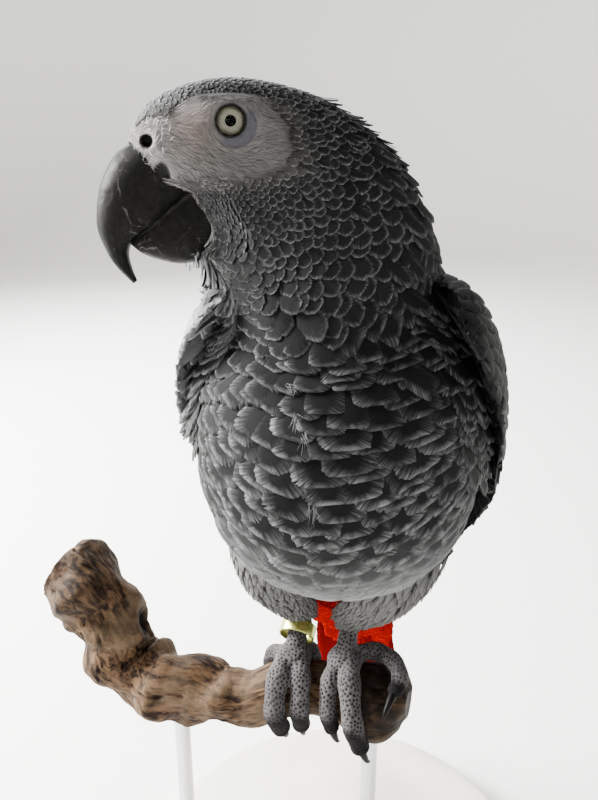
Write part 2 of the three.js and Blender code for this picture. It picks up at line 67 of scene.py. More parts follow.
# name, yaw, pivot, crest [forward, height], keel [forward, height], half width, how much wider at the keel
SECTIONS = [
    ("face", 72, HEAD["pivot"], (57.5, 180.5), (38, 148.0), 10.0, 0.05),
    ("brow", 72, HEAD["pivot"], (52.0, 188.8), (35.5, 144.5), 14.4, 0.08),
    ("eyes", 72, HEAD["pivot"], (40.5, 194.4), (34.0, 142.0), 17.4, 0.15),
    ("crown", 72, HEAD["pivot"], (27.0, 196.2), (33.0, 140.5), 19.6, 0.2),
    ("ears", 72, HEAD["pivot"], (13.0, 194.2), (32.0, 138.5), 21.6, 0.18),
    ("hind_crown", 72, HEAD["pivot"], (0.5, 190.0), (31.0, 137.0), 23.2, 0.15),
    ("occiput", 72, HEAD["pivot"], (-10.0, 183.0), (31.0, 135.5), 24.6, 0.1),
    ("nape", 70, HEAD["pivot"], (-20.0, 174.4), (31.0, 133.5), 26.4, 0.05),
    ("neck_top", 62, (-5, 8.5), (-26.0, 164.5), (31.5, 130.5), 28.2, 0.04),
    ("neck_mid", 46, (-3.5, 8), (-29.5, 154.5), (33.0, 126.5), 28.8, 0.03),
    ("neck_low", 24, (-2, 6.5), (-34.0, 145.5), (37.0, 121.0), 30.5, 0.02),
    ("shoulder", 6, (-0.5, 3), (-43.0, 137.5), (40.5, 114.5), 36.5, 0),
    ("breast_top", 0, (0, 0), (-50.0, 126.0), (45.5, 102.0), 43.0, 0),
    ("breast", 0, (0, 0), (-54.0, 110.5), (47.5, 88.0), 45.0, 0),
    ("keel", 0, (0, 0), (-57.0, 94.0), (45.5, 73.5), 45.0, 0),
    ("belly", 0, (0, 0), (-59.5, 77.0), (39.5, 60.0), 43.0, 0),
    ("flank", 0, (0, 0), (-61.0, 60.0), (29.5, 49.5), 38.5, 0),
    ("hip", 0, (0, 0), (-62.0, 44.0), (17.0, 41.5), 32.5, 0),
    ("vent", 0, (0, 0), (-62.5, 29.0), (3.0, 33.5), 25.5, 0),
    ("rump", 0, (0, 0), (-62.5, 15.0), (-11.0, 19.0), 19.0, 0),
    ("tail_coverts", 0, (0, 0), (-63.5, 2.0), (-25.0, 6.0), 14.0, 0),
    ("covert_tips", 0, (0, 0), (-66.5, -10.0), (-38.0, -9.0), 9.5, 0),
]

# folded wing, left side: front edge, back edge, outward bulge of the chord and thickness
WING_SECTIONS = [
    ((34, -17, 135), (25, 2, 140), 2, 5),
    ((42.5, -20, 123), (22, 29, 138), 5, 9),
    ((48.5, -13, 106), (14, 47, 126), 8.5, 11.5),
    ((50.5, -1, 87), (9, 57, 107), 10.5, 11.5),
    ((49, 13, 68), (6, 63.5, 87), 11, 11),
    ((43.5, 27, 49), (4.5, 68, 65), 9.5, 9),
    ((36.5, 39, 30), (3.5, 71, 42), 7.5, 7),
    ((29, 51, 11), (3.5, 74, 18), 5.5, 6),
    ((22, 61, -8), (4, 78, -4), 4, 5),
    ((15, 71, -28), (4, 83.5, -26), 3, 4),
    ((12, 80, -48), (6, 89, -47), 2, 3),
]

# both sides of the bird, and which way each lies
SIDES_OF = [("left", 1), ("right", -1)]

# the horn of the bill, as [forward, up] from the eye: outer edge, cutting edge, half width
UPPER_HORN = [
    ((19.0, -3.5), (5.0, -15.0), 9.2),
    ((28.0, -5.6), (11.0, -18.2), 9.8),
    ((33.6, -9.8), (15.5, -22.4), 9.5),
    ((37.2, -16.0), (20.0, -26.6), 8.8),
    ((39.3, -23.0), (24.6, -30.2), 7.7),
    ((39.6, -30.0), (29.4, -33.2), 6.2),
    ((37.8, -36.2), (31.2, -37.6), 4.6),
    ((34.8, -41.6), (30.6, -42.0), 2.9),
    ((30.4, -46.4), (29.3, -45.6), 0.8),
]
LOWER_HORN = [
    ((5.0, -15.0), (0.0, -27.0), 8.8),
    ((10.0, -16.2), (3.5, -34.0), 9.4),
    ((14.8, -19.4), (8.0, -38.8), 9.3),
    ((19.6, -23.6), (15.0, -40.5), 8.5),
    ((24.0, -28.0), (21.5, -39.5), 7.2),
    ((27.6, -31.2), (27.0, -37.3), 5.4),
    ((30.0, -33.0), (30.0, -35.0), 2.8),
]
# where the skin ends on the horn, as [up, forward] from the eye, and how much room the horn takes there
HORN_EDGE = [
    (-44, 40), (-41.5, 24), (-38.5, 11), (-36.5, 7.5), (-33, 6.0), (-29, 6.0), (-24, 8.6), (-19, 11.4),
    (-17.8, 14.0), (-15.5, 20.2), (-11, 24.4), (-6, 26.8), (-3.5, 29), (0, 45),
]
HORN_ROOM = [(0, 10.0), (8, 10.0), (14, 9.8), (20, 9.6), (28, 8.9), (33, 8.0)]

# how finely each form is worked out: points along it and across or round it
FINE = {
    "body": (600, 360),
    "body_skin": (300, 380),
    "breast": (130, 240),
    "face": (260, 380),
    "wing": (160, 90),
    "wing_round": (160, 160),
    "wing_bed": (60, 60),
    "tail": (60, 60),
    "thigh": (120, 160),
    "bill": (180, 130),
    "claw": (48, 28),
    "perch": (260, 150),
}

# the branch: the middle of the wood and its radius at each station
PERCH = [
    ((26.5, 1.5, -10.6), 5.5),
    ((23.5, 1.8, -10.6), 10.2),
    ((13.5, 3, -12.0), 13.6),
    ((3, 4, -11.4), 10.8),
    ((-8, 4, -11.0), 9.6),
    ((-19, 3, -12.4), 10.4),
    ((-30, 1.5, -17), 9.6),
    ((-41, 1, -19), 10.2),
    ((-54, 2, -17.4), 12.6),
    ((-68, 4, -19.5), 12.8),
    ((-80, 6, -16), 13.2),
    ((-87.5, 8, -6), 12.9),
    ((-92, 10, 4.5), 13.8),
    ((-99, 12, 12.5), 15.2),
    ((-109, 15, 17), 14.6),
]
GRIPPED = {"middle": -5, "half": 24}
# the side of a toe or claw from which its sections are counted: nearly along the branch
ACROSS = (1.0, 0.1, 0.2)

# each toe: its radius, then its joints as [degrees round the branch from its top to the front, x]
FEET = {
    "right": {
        "x": -15.2,
        "thigh": (-21, 2, 58),
        "toes": {
            "toe_1": (3.0, [(-8, -14), (-42, -11.5), (-78, -10.8), (-104, -10.5)]),
            "toe_2": (3.7, [(4, -13.2), (40, -11.2), (85, -10.4), (136, -10.4)]),
            "toe_3": (4.0, [(4, -17), (40, -18.9), (85, -18.8), (142, -17.5)]),
            "toe_4": (3.2, [(-6, -18), (-34, -24.5), (-70, -27), (-106, -26.5)]),
        },
    },
    "left": {
        "x": 3.2,
        "thigh": (21, 2, 58),
        "toes": {
            "toe_1": (2.9, [(-8, 2.5), (-42, 0), (-78, -1), (-102, -1.5)]),
            "toe_2": (3.2, [(4, 1.2), (40, -0.7), (85, -0.2), (118, 1.4)]),
            "toe_3": (3.8, [(4, 4.8), (40, 6.6), (85, 9.2), (124, 12.4)]),
            "toe_4": (3.2, [(-12, 6), (-26, 13), (-14, 20), (14, 23.4), (42, 21.5)]),
        },
    },
}

UP = np.array([0, 0, 1.0])
rng = np.random.default_rng(7)


# ---- numbers -----------------------------------------------------------------------------------------
def unit(v):
    return v / np.maximum(np.linalg.norm(v, axis=-1, keepdims=True), 1e-9)


def dot(a, b):
    return (a * b).sum(-1)


def smoothstep(low, high, x):
    s = np.clip((x - low) / (high - low), 0, 1)
    return s * s * (3 - 2 * s)


def mix(a, b, share):
    """A blend of two colours or vectors by an array of shares."""
    share = np.asarray(share)[..., None]
    return np.asarray(a, float) * (1 - share) + np.asarray(b, float) * share


def turns(count):
    """The angles of so many even steps round a circle."""
    return np.arange(count) / count * 2 * math.pi


def bump_at(x, middle, width):
    return np.exp(-(((x - middle) / width) ** 2))


def spline(points, t):
    """The centripetal curve through evenly spaced stations, read at each t from 0 to 1."""
    points = np.asarray(points, float).reshape(len(points), -1)
    last = len(points) - 1
    padded = np.vstack([2 * points[0] - points[1], points, 2 * points[-1] - points[-2]])
    place = np.clip(np.asarray(t, float), 0, 1) * last
    i = np.minimum(place.astype(int), last - 1)
    w = (place - i)[..., None]
    p0, p1, p2, p3 = (padded[i + k] for k in range(4))
    steps = (p1 - p0, p2 - p1, p3 - p2)
    d0, d1, d2 = (np.linalg.norm(step, axis=-1, keepdims=True) ** 0.5 for step in steps)
    d1 = np.where(d1 < 1e-4, 1.0, d1)
    d0 = np.where(d0 < 1e-4, d1, d0)
    d2 = np.where(d2 < 1e-4, d1, d2)
    s1 = ((p1 - p0) / d0 - (p2 - p0) / (d0 + d1) + (p2 - p1) / d1) * d1
    s2 = ((p2 - p1) / d1 - (p3 - p1) / (d1 + d2) + (p3 - p2) / d2) * d1
    return p1 + w * (s1 + w * (3 * (p2 - p1) - 2 * s1 - s2 + w * (2 * (p1 - p2) + s1 + s2)))


def smooth(values, t):
    return spline(values, t)[..., 0]


def hashed(cell, seed):
    """A fixed number from 0 to 1 for each whole-number cell."""
    c = cell.astype(np.int64)
    n = c[..., 0] * 374761393 + c[..., 1] * 668265263 + c[..., 2] * 1274126177 + seed * 97531
    n = (n ^ (n >> 13)) & 0xFFFFFFFF
    n = (n * 1103515245 + 12345) & 0xFFFFFFFF
    n = ((n ^ (n >> 16)) * 2246822519) & 0xFFFFFFFF
    return ((n ^ (n >> 15)) & 0xFFFFFF) / 0xFFFFFF


def noise(p, size, seed=0, octaves=1):
    """Smooth noise from -1 to 1 over points, with lumps of about this size."""
    total, weight = 0.0, 0.0
    for octave in range(octaves):
        q = p / size * 2**octave
        cell = np.floor(q)
        f = q - cell
        f = f * f * (3 - 2 * f)
        value = 0.0
        for corner in np.ndindex(2, 2, 2):
            c = np.array(corner)
            share = np.prod(np.where(c == 1, f, 1 - f), axis=-1)
            value = value + share * hashed(cell + c, seed + octave)
        total = total + (value * 2 - 1) / 2**octave
        weight += 1 / 2**octave
    return total / weight


def pebbles(p, size, seed=0):
    """Distances to the nearest and second nearest of scattered points, in pebbles of about this size."""
    q = p / size
    cell = np.floor(q)
    near = np.full(p.shape[:-1], 9.0)
    second = near.copy()
    for corner in np.ndindex(3, 3, 3):
        c = cell + np.array(corner) - 1
        place = c + np.stack([hashed(c, seed + k) for k in range(3)], -1)
        d = np.linalg.norm(place - q, axis=-1)
        second = np.minimum(second, np.maximum(near, d))
        near = np.minimum(near, d)
    return near, second


# ---- the bird's surfaces -----------------------------------------------------------------------------
def facing(yaw):
    turn = np.radians(yaw)
    return np.stack([-np.sin(turn), -np.cos(turn), 0 * turn], -1)


def left_of(forward):
    return np.stack([-forward[..., 1], forward[..., 0], 0 * forward[..., 0]], -1)


def standing(pivot, yaw, at):
    return np.array([*pivot, at[1]]) + facing(yaw) * at[0]


CRESTS = [standing(pivot, yaw, crest) for _, yaw, pivot, crest, *_ in SECTIONS]
KEELS = [standing(pivot, yaw, keel) for _, yaw, pivot, _, keel, *_ in SECTIONS]
YAWS = [section[1] for section in SECTIONS]
SIDES = [section[5] for section in SECTIONS]
LOWS = [section[6] for section in SECTIONS]
NAMES = [section[0] for section in SECTIONS]
HEAD_FORWARD = facing(HEAD["yaw"])
HEAD_LEFT = left_of(HEAD_FORWARD)


def station(name):
    return NAMES.index(name) / (len(NAMES) - 1)


def by_station(t, **values):
    """A quantity given at named stations of the body, read at t."""
    return np.interp(t, [station(name) for name in values], list(values.values()))


def on_body(t, angle, more=0.0):
    """The body's outline: t runs from the face to the tail, angle 0 is the keel and a quarter its left."""
    crest, keel = spline(CRESTS, t), spline(KEELS, t)
    middle, up = (crest + keel) / 2, (crest - keel) / 2
    left = left_of(facing(smooth(YAWS, t)))
    boxy = 1 - 0.13 * (1 - smoothstep(0.08, 0.4, t))
    c, s = (np.sign(v) * np.abs(v) ** boxy for v in (np.cos(angle), np.sin(angle)))
    side = smooth(SIDES, t) * (1 + smooth(LOWS, t) * c) + more
    height = np.linalg.norm(up, axis=-1)
    deep = (height + more) / height
    return middle - up * (c * deep)[..., None] + left * (s * side)[..., None]


def in_head(forward, up, side=0.0):
    """A point of the head's own frame, from the middle between the eyes."""
    middle = np.array([*HEAD["pivot"], HEAD["height"]]) + HEAD_FORWARD * HEAD["forward"]
    forward, up, side = np.broadcast_arrays(*(np.asarray(v, float) for v in (forward, up, side)))
    return middle + HEAD_FORWARD * forward[..., None] + HEAD_LEFT * side[..., None] + UP * up[..., None]


def from_head(p):
    """Forward, up and left of points, from the middle between the eyes."""
    d = p - in_head(0, 0)
    return d @ HEAD_FORWARD, d[..., 2], d @ HEAD_LEFT


def head_way(ahead, up, left=0.0):
    """Directions given in the head's own frame."""
    ahead, up, left = (np.asarray(v, float)[..., None] for v in (ahead, up, left))
    return HEAD_FORWARD * ahead + UP * up + HEAD_LEFT * left


class Sheet:
    """A surface read from a grid of points: a runs down the lie of the coat, b across it to the left."""

    def __init__(self, points, closed=True, flip=False):
        self.points, self.closed = points, closed
        rows, columns = points.shape[:2]
        self.along = np.gradient(points, 1 / (rows - 1), axis=0)
        if closed:
            self.across = (np.roll(points, -1, 1) - np.roll(points, 1, 1)) * columns / 2
        else:
            self.across = np.gradient(points, 1 / (columns - 1), axis=1)
        self.normal = unit(np.cross(self.along, self.across)) * (-1 if flip else 1)

    def read(self, grid, a, b):
        rows, columns = grid.shape[:2]
        x = np.clip(a, 0, 1) * (rows - 1)
        i = np.minimum(x.astype(int), rows - 2)
        u = (x - i)[..., None] if grid.ndim == 3 else x - i
        if self.closed:
            y = np.mod(b, 1.0) * columns
            j = np.minimum(y.astype(int), columns - 1)
            k = (j + 1) % columns
        else:
            y = np.clip(b, 0, 1) * (columns - 1)
            j = np.minimum(y.astype(int), columns - 2)
            k = j + 1
        v = (y - j)[..., None] if grid.ndim == 3 else y - j
        before = grid[i, j] * (1 - v) + grid[i, k] * v
        after = grid[i + 1, j] * (1 - v) + grid[i + 1, k] * v
        return before * (1 - u) + after * u

    def place(self, a, b, height=0.0):
        past = (a - np.clip(a, 0, 1))[..., None]
        p = self.read(self.points, a, b) + past * self.read(self.along, a, b)
        if not self.closed:
            p = p + (b - np.clip(b, 0, 1))[..., None] * self.read(self.across, a, b)
        return p + unit(self.read(self.normal, a, b)) * np.asarray(height)[..., None]

    def steps(self, a, b, vectors):
        """Vectors in millimetres along the surface, as steps of a and b."""
        along, across = self.read(self.along, a, b), self.read(self.across, a, b)
        aa, bb, ab = dot(along, along), dot(across, across), dot(along, across)
        va, vb = dot(vectors, along), dot(vectors, across)
        whole = np.maximum(aa * bb - ab * ab, 1e-6)
        return np.stack([(va * bb - vb * ab) / whole, (vb * aa - va * ab) / whole], -1)


def grid_of(place, rows, columns, closed=True, ends=(0.0, 1.0)):
    """Points of place(a, b) over a whole surface."""
    a = np.linspace(*ends, rows)[:, None]
    b = np.arange(columns)[None] / (columns if closed else columns - 1)
    a, b = np.broadcast_arrays(a, b)
    return place(a, b)


def wing_point(side, t, share, lift=0.5):
    """A point of the folded wing at a share of its chord: lift is 0.5 on its outer face, -0.5 inside."""
    fronts, backs, bulges, thicknesses = zip(*WING_SECTIONS)
    mirror = np.array([side, 1, 1])
    front, back = spline(fronts, t) * mirror, spline(backs, t) * mirror
    step = 0.02
    along = (spline(fronts, t + step) - spline(fronts, t - step)) * mirror
    out = unit(np.cross(along, back - front)) * side
    bulge, thick = smooth(bulges, t), smooth(thicknesses, t)
    round_edge = 2 * np.sqrt(np.clip(share * (1 - share), 0, 1))
    height = 4 * share * (1 - share) * bulge + round_edge * thick * lift
    return front + (back - front) * share[..., None] + out * height[..., None]


def tube(points, radius, rows, columns, reference=(0.0, -1.0, 0.0)):
    """A grid of points round a curve; angle 0 is on the reference side."""
    t = np.linspace(0, 1, rows)
    line = spline(points, t)
    along = unit(np.gradient(line, axis=0))
    first = unit(np.array(reference) - along * (along @ np.array(reference))[:, None])
    second = np.cross(first, along)
    angle = turns(columns)
    r = np.broadcast_to(radius(t), (rows,))[:, None, None]
    ring = np.cos(angle)[None, :, None] * first[:, None] + np.sin(angle)[None, :, None] * second[:, None]
    return line[:, None] + ring * r


# ---- meshes ------------------------------------------------------------------------------------------
def on_floor(points):
    """Points of the bird's own frame as floor metres in single precision, one after another."""
    return ((points + UP * GRIP_HEIGHT) * MM).astype(np.float32).ravel()


def new_object(data, name):
    made = bpy.data.objects.new(name, data)
    bpy.context.scene.collection.objects.link(made)
    return made


def capped(values, ends=None):
    """What the vertices of a closed grid carry: each point's values, then those of both middle points."""
    flat = values.reshape(-1, values.shape[-1])
    return np.vstack([flat, *((flat[0], flat[-1]) if ends is None else ends)])


def closed_grid(points):
    """Vertices and triangles of a tube of points, closed at both ends by a middle point."""
    rows, columns = points.shape[:2]
    i, j = np.meshgrid(np.arange(rows - 1), np.arange(columns), indexing="ij")
    k = (j + 1) % columns
    a, b, c, d = i * columns + j, i * columns + k, (i + 1) * columns + k, (i + 1) * columns + j
    faces = [np.stack([a, d, c], -1).reshape(-1, 3), np.stack([a, c, b], -1).reshape(-1, 3)]
    first, last = rows * columns, rows * columns + 1
    ring = np.arange(columns)
    after = (ring + 1) % columns
    faces.append(np.stack([np.full(columns, first), ring, after], -1))
    end = (rows - 1) * columns
    faces.append(np.stack([np.full(columns, last), end + after, end + ring], -1))
    vertices = np.vstack([points.reshape(-1, 3), points[0].mean(0), points[-1].mean(0)])
    return vertices, outward(vertices, np.vstack(faces))


def outward(vertices, faces):
    """The faces of a closed surface, turned round if they face in."""
    p, q, r = (vertices[faces[:, k]] for k in range(3))
    return faces if dot(p, np.cross(q, r)).sum() > 0 else faces[:, ::-1]


def hooped(points):
    """Vertices and triangles of a ring of sections: the grid closes on itself both ways."""
    rows, columns = points.shape[:2]
    i, j = np.meshgrid(np.arange(rows), np.arange(columns), indexing="ij")
    a, b = i * columns + j, i * columns + (j + 1) % columns
    c, d = (i + 1) % rows * columns + (j + 1) % columns, (i + 1) % rows * columns + j
    faces = np.vstack([np.stack(q, -1).reshape(-1, 3) for q in ((a, b, c), (a, c, d))])
    vertices = points.reshape(-1, 3)
    return vertices, outward(vertices, faces)


class Batch:
    """Vertices, triangles and what each vertex carries, gathered for one mesh."""

    def __init__(self):
        self.parts = []
        self.count = 0

    def add(self, vertices, faces, tone=None, vane=None, uv=None, flat=None):
        n = len(vertices)
        tone = np.broadcast_to(np.asarray([0.5, 0.5, 0.5] if tone is None else tone, float), (n, 3))
        vane = np.zeros((n, 3)) if vane is None else vane
        uv = np.zeros((n, 2)) if uv is None else uv
        flat = np.zeros(len(faces), bool) if flat is None else flat
        self.parts.append((vertices, faces + self.count, tone, vane, uv, flat))
        self.count += n

    def mesh(self, name, material, maps=False):
        vertices, faces, tone, vane, uv, flat = (np.concatenate(column) for column in zip(*self.parts))
        data = bpy.data.meshes.new(name)
        data.vertices.add(len(vertices))
        data.vertices.foreach_set("co", on_floor(vertices))
        data.loops.add(faces.size)
        data.loops.foreach_set("vertex_index", faces.astype(np.int32).ravel())
        data.polygons.add(len(faces))
        data.polygons.foreach_set("loop_start", np.arange(0, faces.size, 3, dtype=np.int32))
        data.update(calc_edges=True)
        data.polygons.foreach_set("use_smooth", ~flat)
        carry(data, tone, vane)
        if maps:
            layer = data.uv_layers.new(name="OFBake")
            layer.uv.foreach_set("vector", uv[faces.ravel()].astype(np.float32).ravel())
        data.materials.append(material)
        return new_object(data, name)


def carry(data, tone, vane):
    """Puts its colour and its place in the pattern on each vertex of a mesh."""
    tone = np.column_stack([tone, np.ones(len(tone))])
    for name, values, kind, field in (
        ("tone", tone, "FLOAT_COLOR", "color"),
        ("vane", vane, "FLOAT_VECTOR", "vector"),
    ):
        attribute = data.attributes.get(name) or data.attributes.new(name, kind, "POINT")
        attribute.data.foreach_set(field, np.asarray(values, np.float32).ravel())


def shape(name, points, material, tone=None, vane=None):
    """One piece from a tube of points."""
    batch = Batch()
    vertices, faces = closed_grid(points)
    batch.add(vertices, faces, tone, vane)
    return batch.mesh(name, material)


def finish(piece, slot, *nodes):
    """Every piece rides on the one body and may stand for CAD nodes, which it hides; the slot it is given is
    not used.
    """
    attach(piece, "root")
    if nodes:
        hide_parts(*nodes)
    return piece


# ---- feathers ----------------------------------------------------------------------------------------
class Vane:
    """A closed thin vane's outline and triangles: barbs leave the shaft on both sides and end at the rim.

    Rim and inner rings are at shares of the way from the shaft to the rim. Its under side is one plain
    strip, or has the same rings where both sides show.
    """

    def __init__(self, barbs, rings, both=False):
        spread = 2 * barbs + 1
        column = np.arange(spread)
        tipness = 1 - np.abs(column - barbs) / barbs
        shaft = np.arange(barbs + 1)
        under_rings = len(rings) - 1 if both else 0
        side = np.sign(barbs - column)
        none = np.zeros(barbs + 1)

        def each(on_shaft, on_ring):
            above, below = np.tile(on_ring, len(rings)), np.tile(on_ring, under_rings)
            return np.concatenate([on_shaft, above, on_shaft, below])

        self.barb = each(shaft, column)
        self.tipness = each(shaft / barbs, tipness)
        self.side = each(none, side)
        ring_below = np.repeat(rings[:under_rings], spread)
        self.ring = np.concatenate([none, np.repeat(rings, spread), none, ring_below])
        first = barbs + 1
        below = first + spread * len(rings)
        self.under = np.arange(len(self.barb)) >= below
        self.spread = spread

        def top(level, i):
            return np.minimum(i, 2 * barbs - i) if level == 0 else first + (level - 1) * spread + i

        def bottom(level, i):
            if level == 0:
                return below + np.minimum(i, 2 * barbs - i)
            if level > under_rings:
                return top(len(rings), i)
            return below + first + (level - 1) * spread + i

        i = np.arange(spread - 1)
        faces, flat = [], []

        def strip(inner, outer, turned):
            for part, mirrored in ((i[:barbs], False), (i[barbs:], True)):
                quad = [inner(part), inner(part + 1), outer(part + 1), outer(part)]
                if turned:
                    quad = quad[::-1]
                for three in ((0, 1, 2), (0, 2, 3)) if mirrored != turned else ((0, 1, 3), (1, 2, 3)):
                    faces.append(np.stack([quad[k] for k in three], -1))
                    flat.append(np.full(len(part), turned and not both))

        for level in range(len(rings)):
            strip(lambda i, l=level: top(l, i), lambda i, l=level: top(l + 1, i), False)
        for level in range(under_rings + 1):
            strip(lambda i, l=level: bottom(l, i), lambda i, l=level: bottom(l + 1, i), True)
        ends = list(range(len(rings) + 1))
        for i_end, turned in ((0, False), (2 * barbs, True)):
            edge = [int(top(level, i_end)) for level in ends]
            edge += [int(bottom(level, i_end)) for level in range(under_rings, 0, -1)]
            for p, q in zip(edge, edge[1:]):
                faces.append(np.array([[below, q, p] if turned else [below, p, q]]))
                flat.append(np.ones(1, bool))
        self.faces = np.concatenate(faces)
        self.flat = np.concatenate(flat)


# how a kind of feather is cut: how much of it the shaft runs through, how blunt its tip is (low is blunt),
# root is its share of width at the base, fray how uneven its rim is, split the share of barbs that part,
# edge where its pale border starts, fringe how much that border breaks up into barbs, bow how soon it rises
def feather_cut(*shares):
    return dict(zip(("shaft", "blunt", "root", "fray", "split", "edge", "fringe", "bow"), shares))


SCALE = feather_cut(0.84, 0.50, 0.50, 0.030, 0.05, 0.70, 0.60, 0.55)
FRINGED = feather_cut(0.80, 0.34, 0.60, 0.024, 0.06, 0.60, 0.80, 0.60)
SMOOTH = feather_cut(0.95, 0.55, 0.65, 0.012, 0.02, 0.88, 0.20, 0.80)
SOFT = feather_cut(0.80, 0.42, 0.50, 0.045, 0.09, 0.42, 0.55, 0.60)
FUZZ = feather_cut(0.80, 0.80, 0.50, 0.100, 0.25, 0.30, 0.60, 0.70)
TUFT = feather_cut(0.90, 0.85, 0.50, 0.100, 0.10, 0.35, 0.50, 0.70)
PLUME = feather_cut(0.86, 0.90, 0.40, 0.200, 0.35, 0.30, 0.60, 0.60)


def lay(batch, sheet, vane, cut, roots):
    """Lays one vane at each root over a sheet.

    roots holds, for each: a and b, along and across (its length and half width as steps of a and b), length
    and half in millimetres, deep and lift (the height of its root and tip off the sheet), camber (how far
    its sides droop), thick, and centre and edge, its colours.
    """
    n = len(roots["a"])
    if n == 0:
        return
    tip, ring, side = vane.tipness, vane.ring, vane.side
    shaft = cut["shaft"] * tip
    rim = np.sin(tip * math.pi / 2)
    opening = cut["root"] + (1 - cut["root"]) * smoothstep(0, 0.4, tip)
    wide = np.cos(tip * math.pi / 2) ** cut["blunt"] * opening
    reach = 1 + cut["fray"] * rng.standard_normal((n, vane.spread))
    parted = rng.random((n, vane.spread)) < cut["split"]
    reach = np.where(parted, reach * rng.uniform(0.72, 0.9, (n, vane.spread)), reach)
    reach = 1 + (reach[:, vane.barb] - 1) * ring**2
    x = shaft + (rim - shaft) * ring**1.15 * reach
    y = side * wide * ring * reach
    lean = rng.standard_normal((n, vane.spread))[:, vane.barb] * cut["fray"] * 0.3
    y = y + lean * ring * (tip > 0.5) * (1 - np.abs(y))
    column = {key: np.asarray(roots[key], float).reshape(n, -1) for key in roots}
    height = column["deep"] * (1 - np.clip(x, 0, 1) ** cut["bow"]) + column["lift"] * x**2
    height = height - column["camber"] * y**2 + column.get("tilt", 0.0) * y
    uneven = rng.standard_normal((n, vane.spread))[:, vane.barb] * ring
    height = height + uneven * cut["fray"] * 0.035 * column["half"]
    height = height + np.where(ring == 0, 0.35, 0.0) * column["thick"] * smoothstep(0.8, 0.3, tip)
    height = height - np.where(vane.under, column["thick"] * (1 - ring), 0.0)
    a = column["a"] + x * column["along"][:, :1] + y * column["across"][:, :1]
    b = column["b"] + x * column["along"][:, 1:] + y * column["across"][:, 1:]
    points = sheet.place(a, b, height)
    near_rim = smoothstep(cut["edge"], 1.0, ring + 0.35 * np.maximum(tip - 0.75, 0))
    pale = near_rim * smoothstep(0.1, 0.45, tip)
    strand = rng.random((n, vane.spread))[:, vane.barb]
    pale = pale * (1 - cut["fringe"] + 1.6 * cut["fringe"] * strand**1.1)
    centre, edge = roots["centre"][:, None], roots["edge"][:, None]
    tone = centre * (1 - pale[..., None]) + edge * pale[..., None]
    # painted shade: each feather is darker towards its root, where those above overlap it
    tone = tone * (0.72 + 0.28 * smoothstep(0.25, 0.75, x))[..., None]
    tone = tone * (1 + 0.09 * uneven * (0.3 + cut["fringe"]))[..., None]
    seed = rng.random(n)[:, None]
    barb = tip * (column["length"] + 2 * column["half"])
    lines = np.stack([barb, ring + 0 * barb, seed * 40 + 0 * barb], -1)
    home = column.get("home", np.hstack([column["a"], column["b"]]))
    uv = np.stack([np.mod(home[:, 1:], 1.0) + y * 0.0015, home[:, :1] + (x - 0.5) * 0.003], -1)
    uv = 0.01 + 0.98 * np.clip(uv, 0, 1)
    faces = (vane.faces[None] + (np.arange(n) * len(tip))[:, None, None]).reshape(-1, 3)
    tone = np.clip(tone, 0, 1)
    points, tone, lines = (values.reshape(-1, 3) for values in (points, tone, lines))
    batch.add(points, faces, tone, lines, uv.reshape(-1, 2), np.tile(vane.flat, n))


def hairs(batch, sheet, roots):
    """Lays one thin three-sided tapering hair at each root over a sheet."""
    n = len(roots["a"])
    share = np.repeat(np.array([0, 0.4, 0.75, 1.0]), 3)
    corner = np.tile(np.arange(3) * 2 * math.pi / 3, 4)
    width = np.repeat(np.array([0.8, 1.0, 0.7, 0.12]), 3)
    column = {key: np.asarray(roots[key], float).reshape(n, -1) for key in roots}
    wave = column["bend"] * share**2
    y = np.cos(corner) * width
    a = column["a"] + share * column["along"][:, :1] + (wave + y * 0.5) * column["across"][:, :1]
    b = column["b"] + share * column["along"][:, 1:] + (wave + y * 0.5) * column["across"][:, 1:]
    height = column["lift"] * share + np.sin(corner) * width * column["half"] * 0.5
    points = sheet.place(a, b, height + column["deep"])
    faces = []
    for ring in range(3):
        for i in range(3):
            p, q = ring * 3 + i, ring * 3 + (i + 1) % 3
            faces += [(p, q, q + 3), (p, q + 3, p + 3)]
    faces += [(0, 2, 1), (9, 10, 11)]
    faces = (np.array(faces)[None] + (np.arange(n) * 12)[:, None, None]).reshape(-1, 3)
    tone = np.broadcast_to(roots["centre"][:, None], (n, 12, 3))
    uv = np.stack([np.mod(column["b"], 1.0) + 0 * share, column["a"] + (share - 0.5) * 0.003], -1)
    batch.add(points.reshape(-1, 3), faces, tone.reshape(-1, 3), None, uv.reshape(-1, 2))


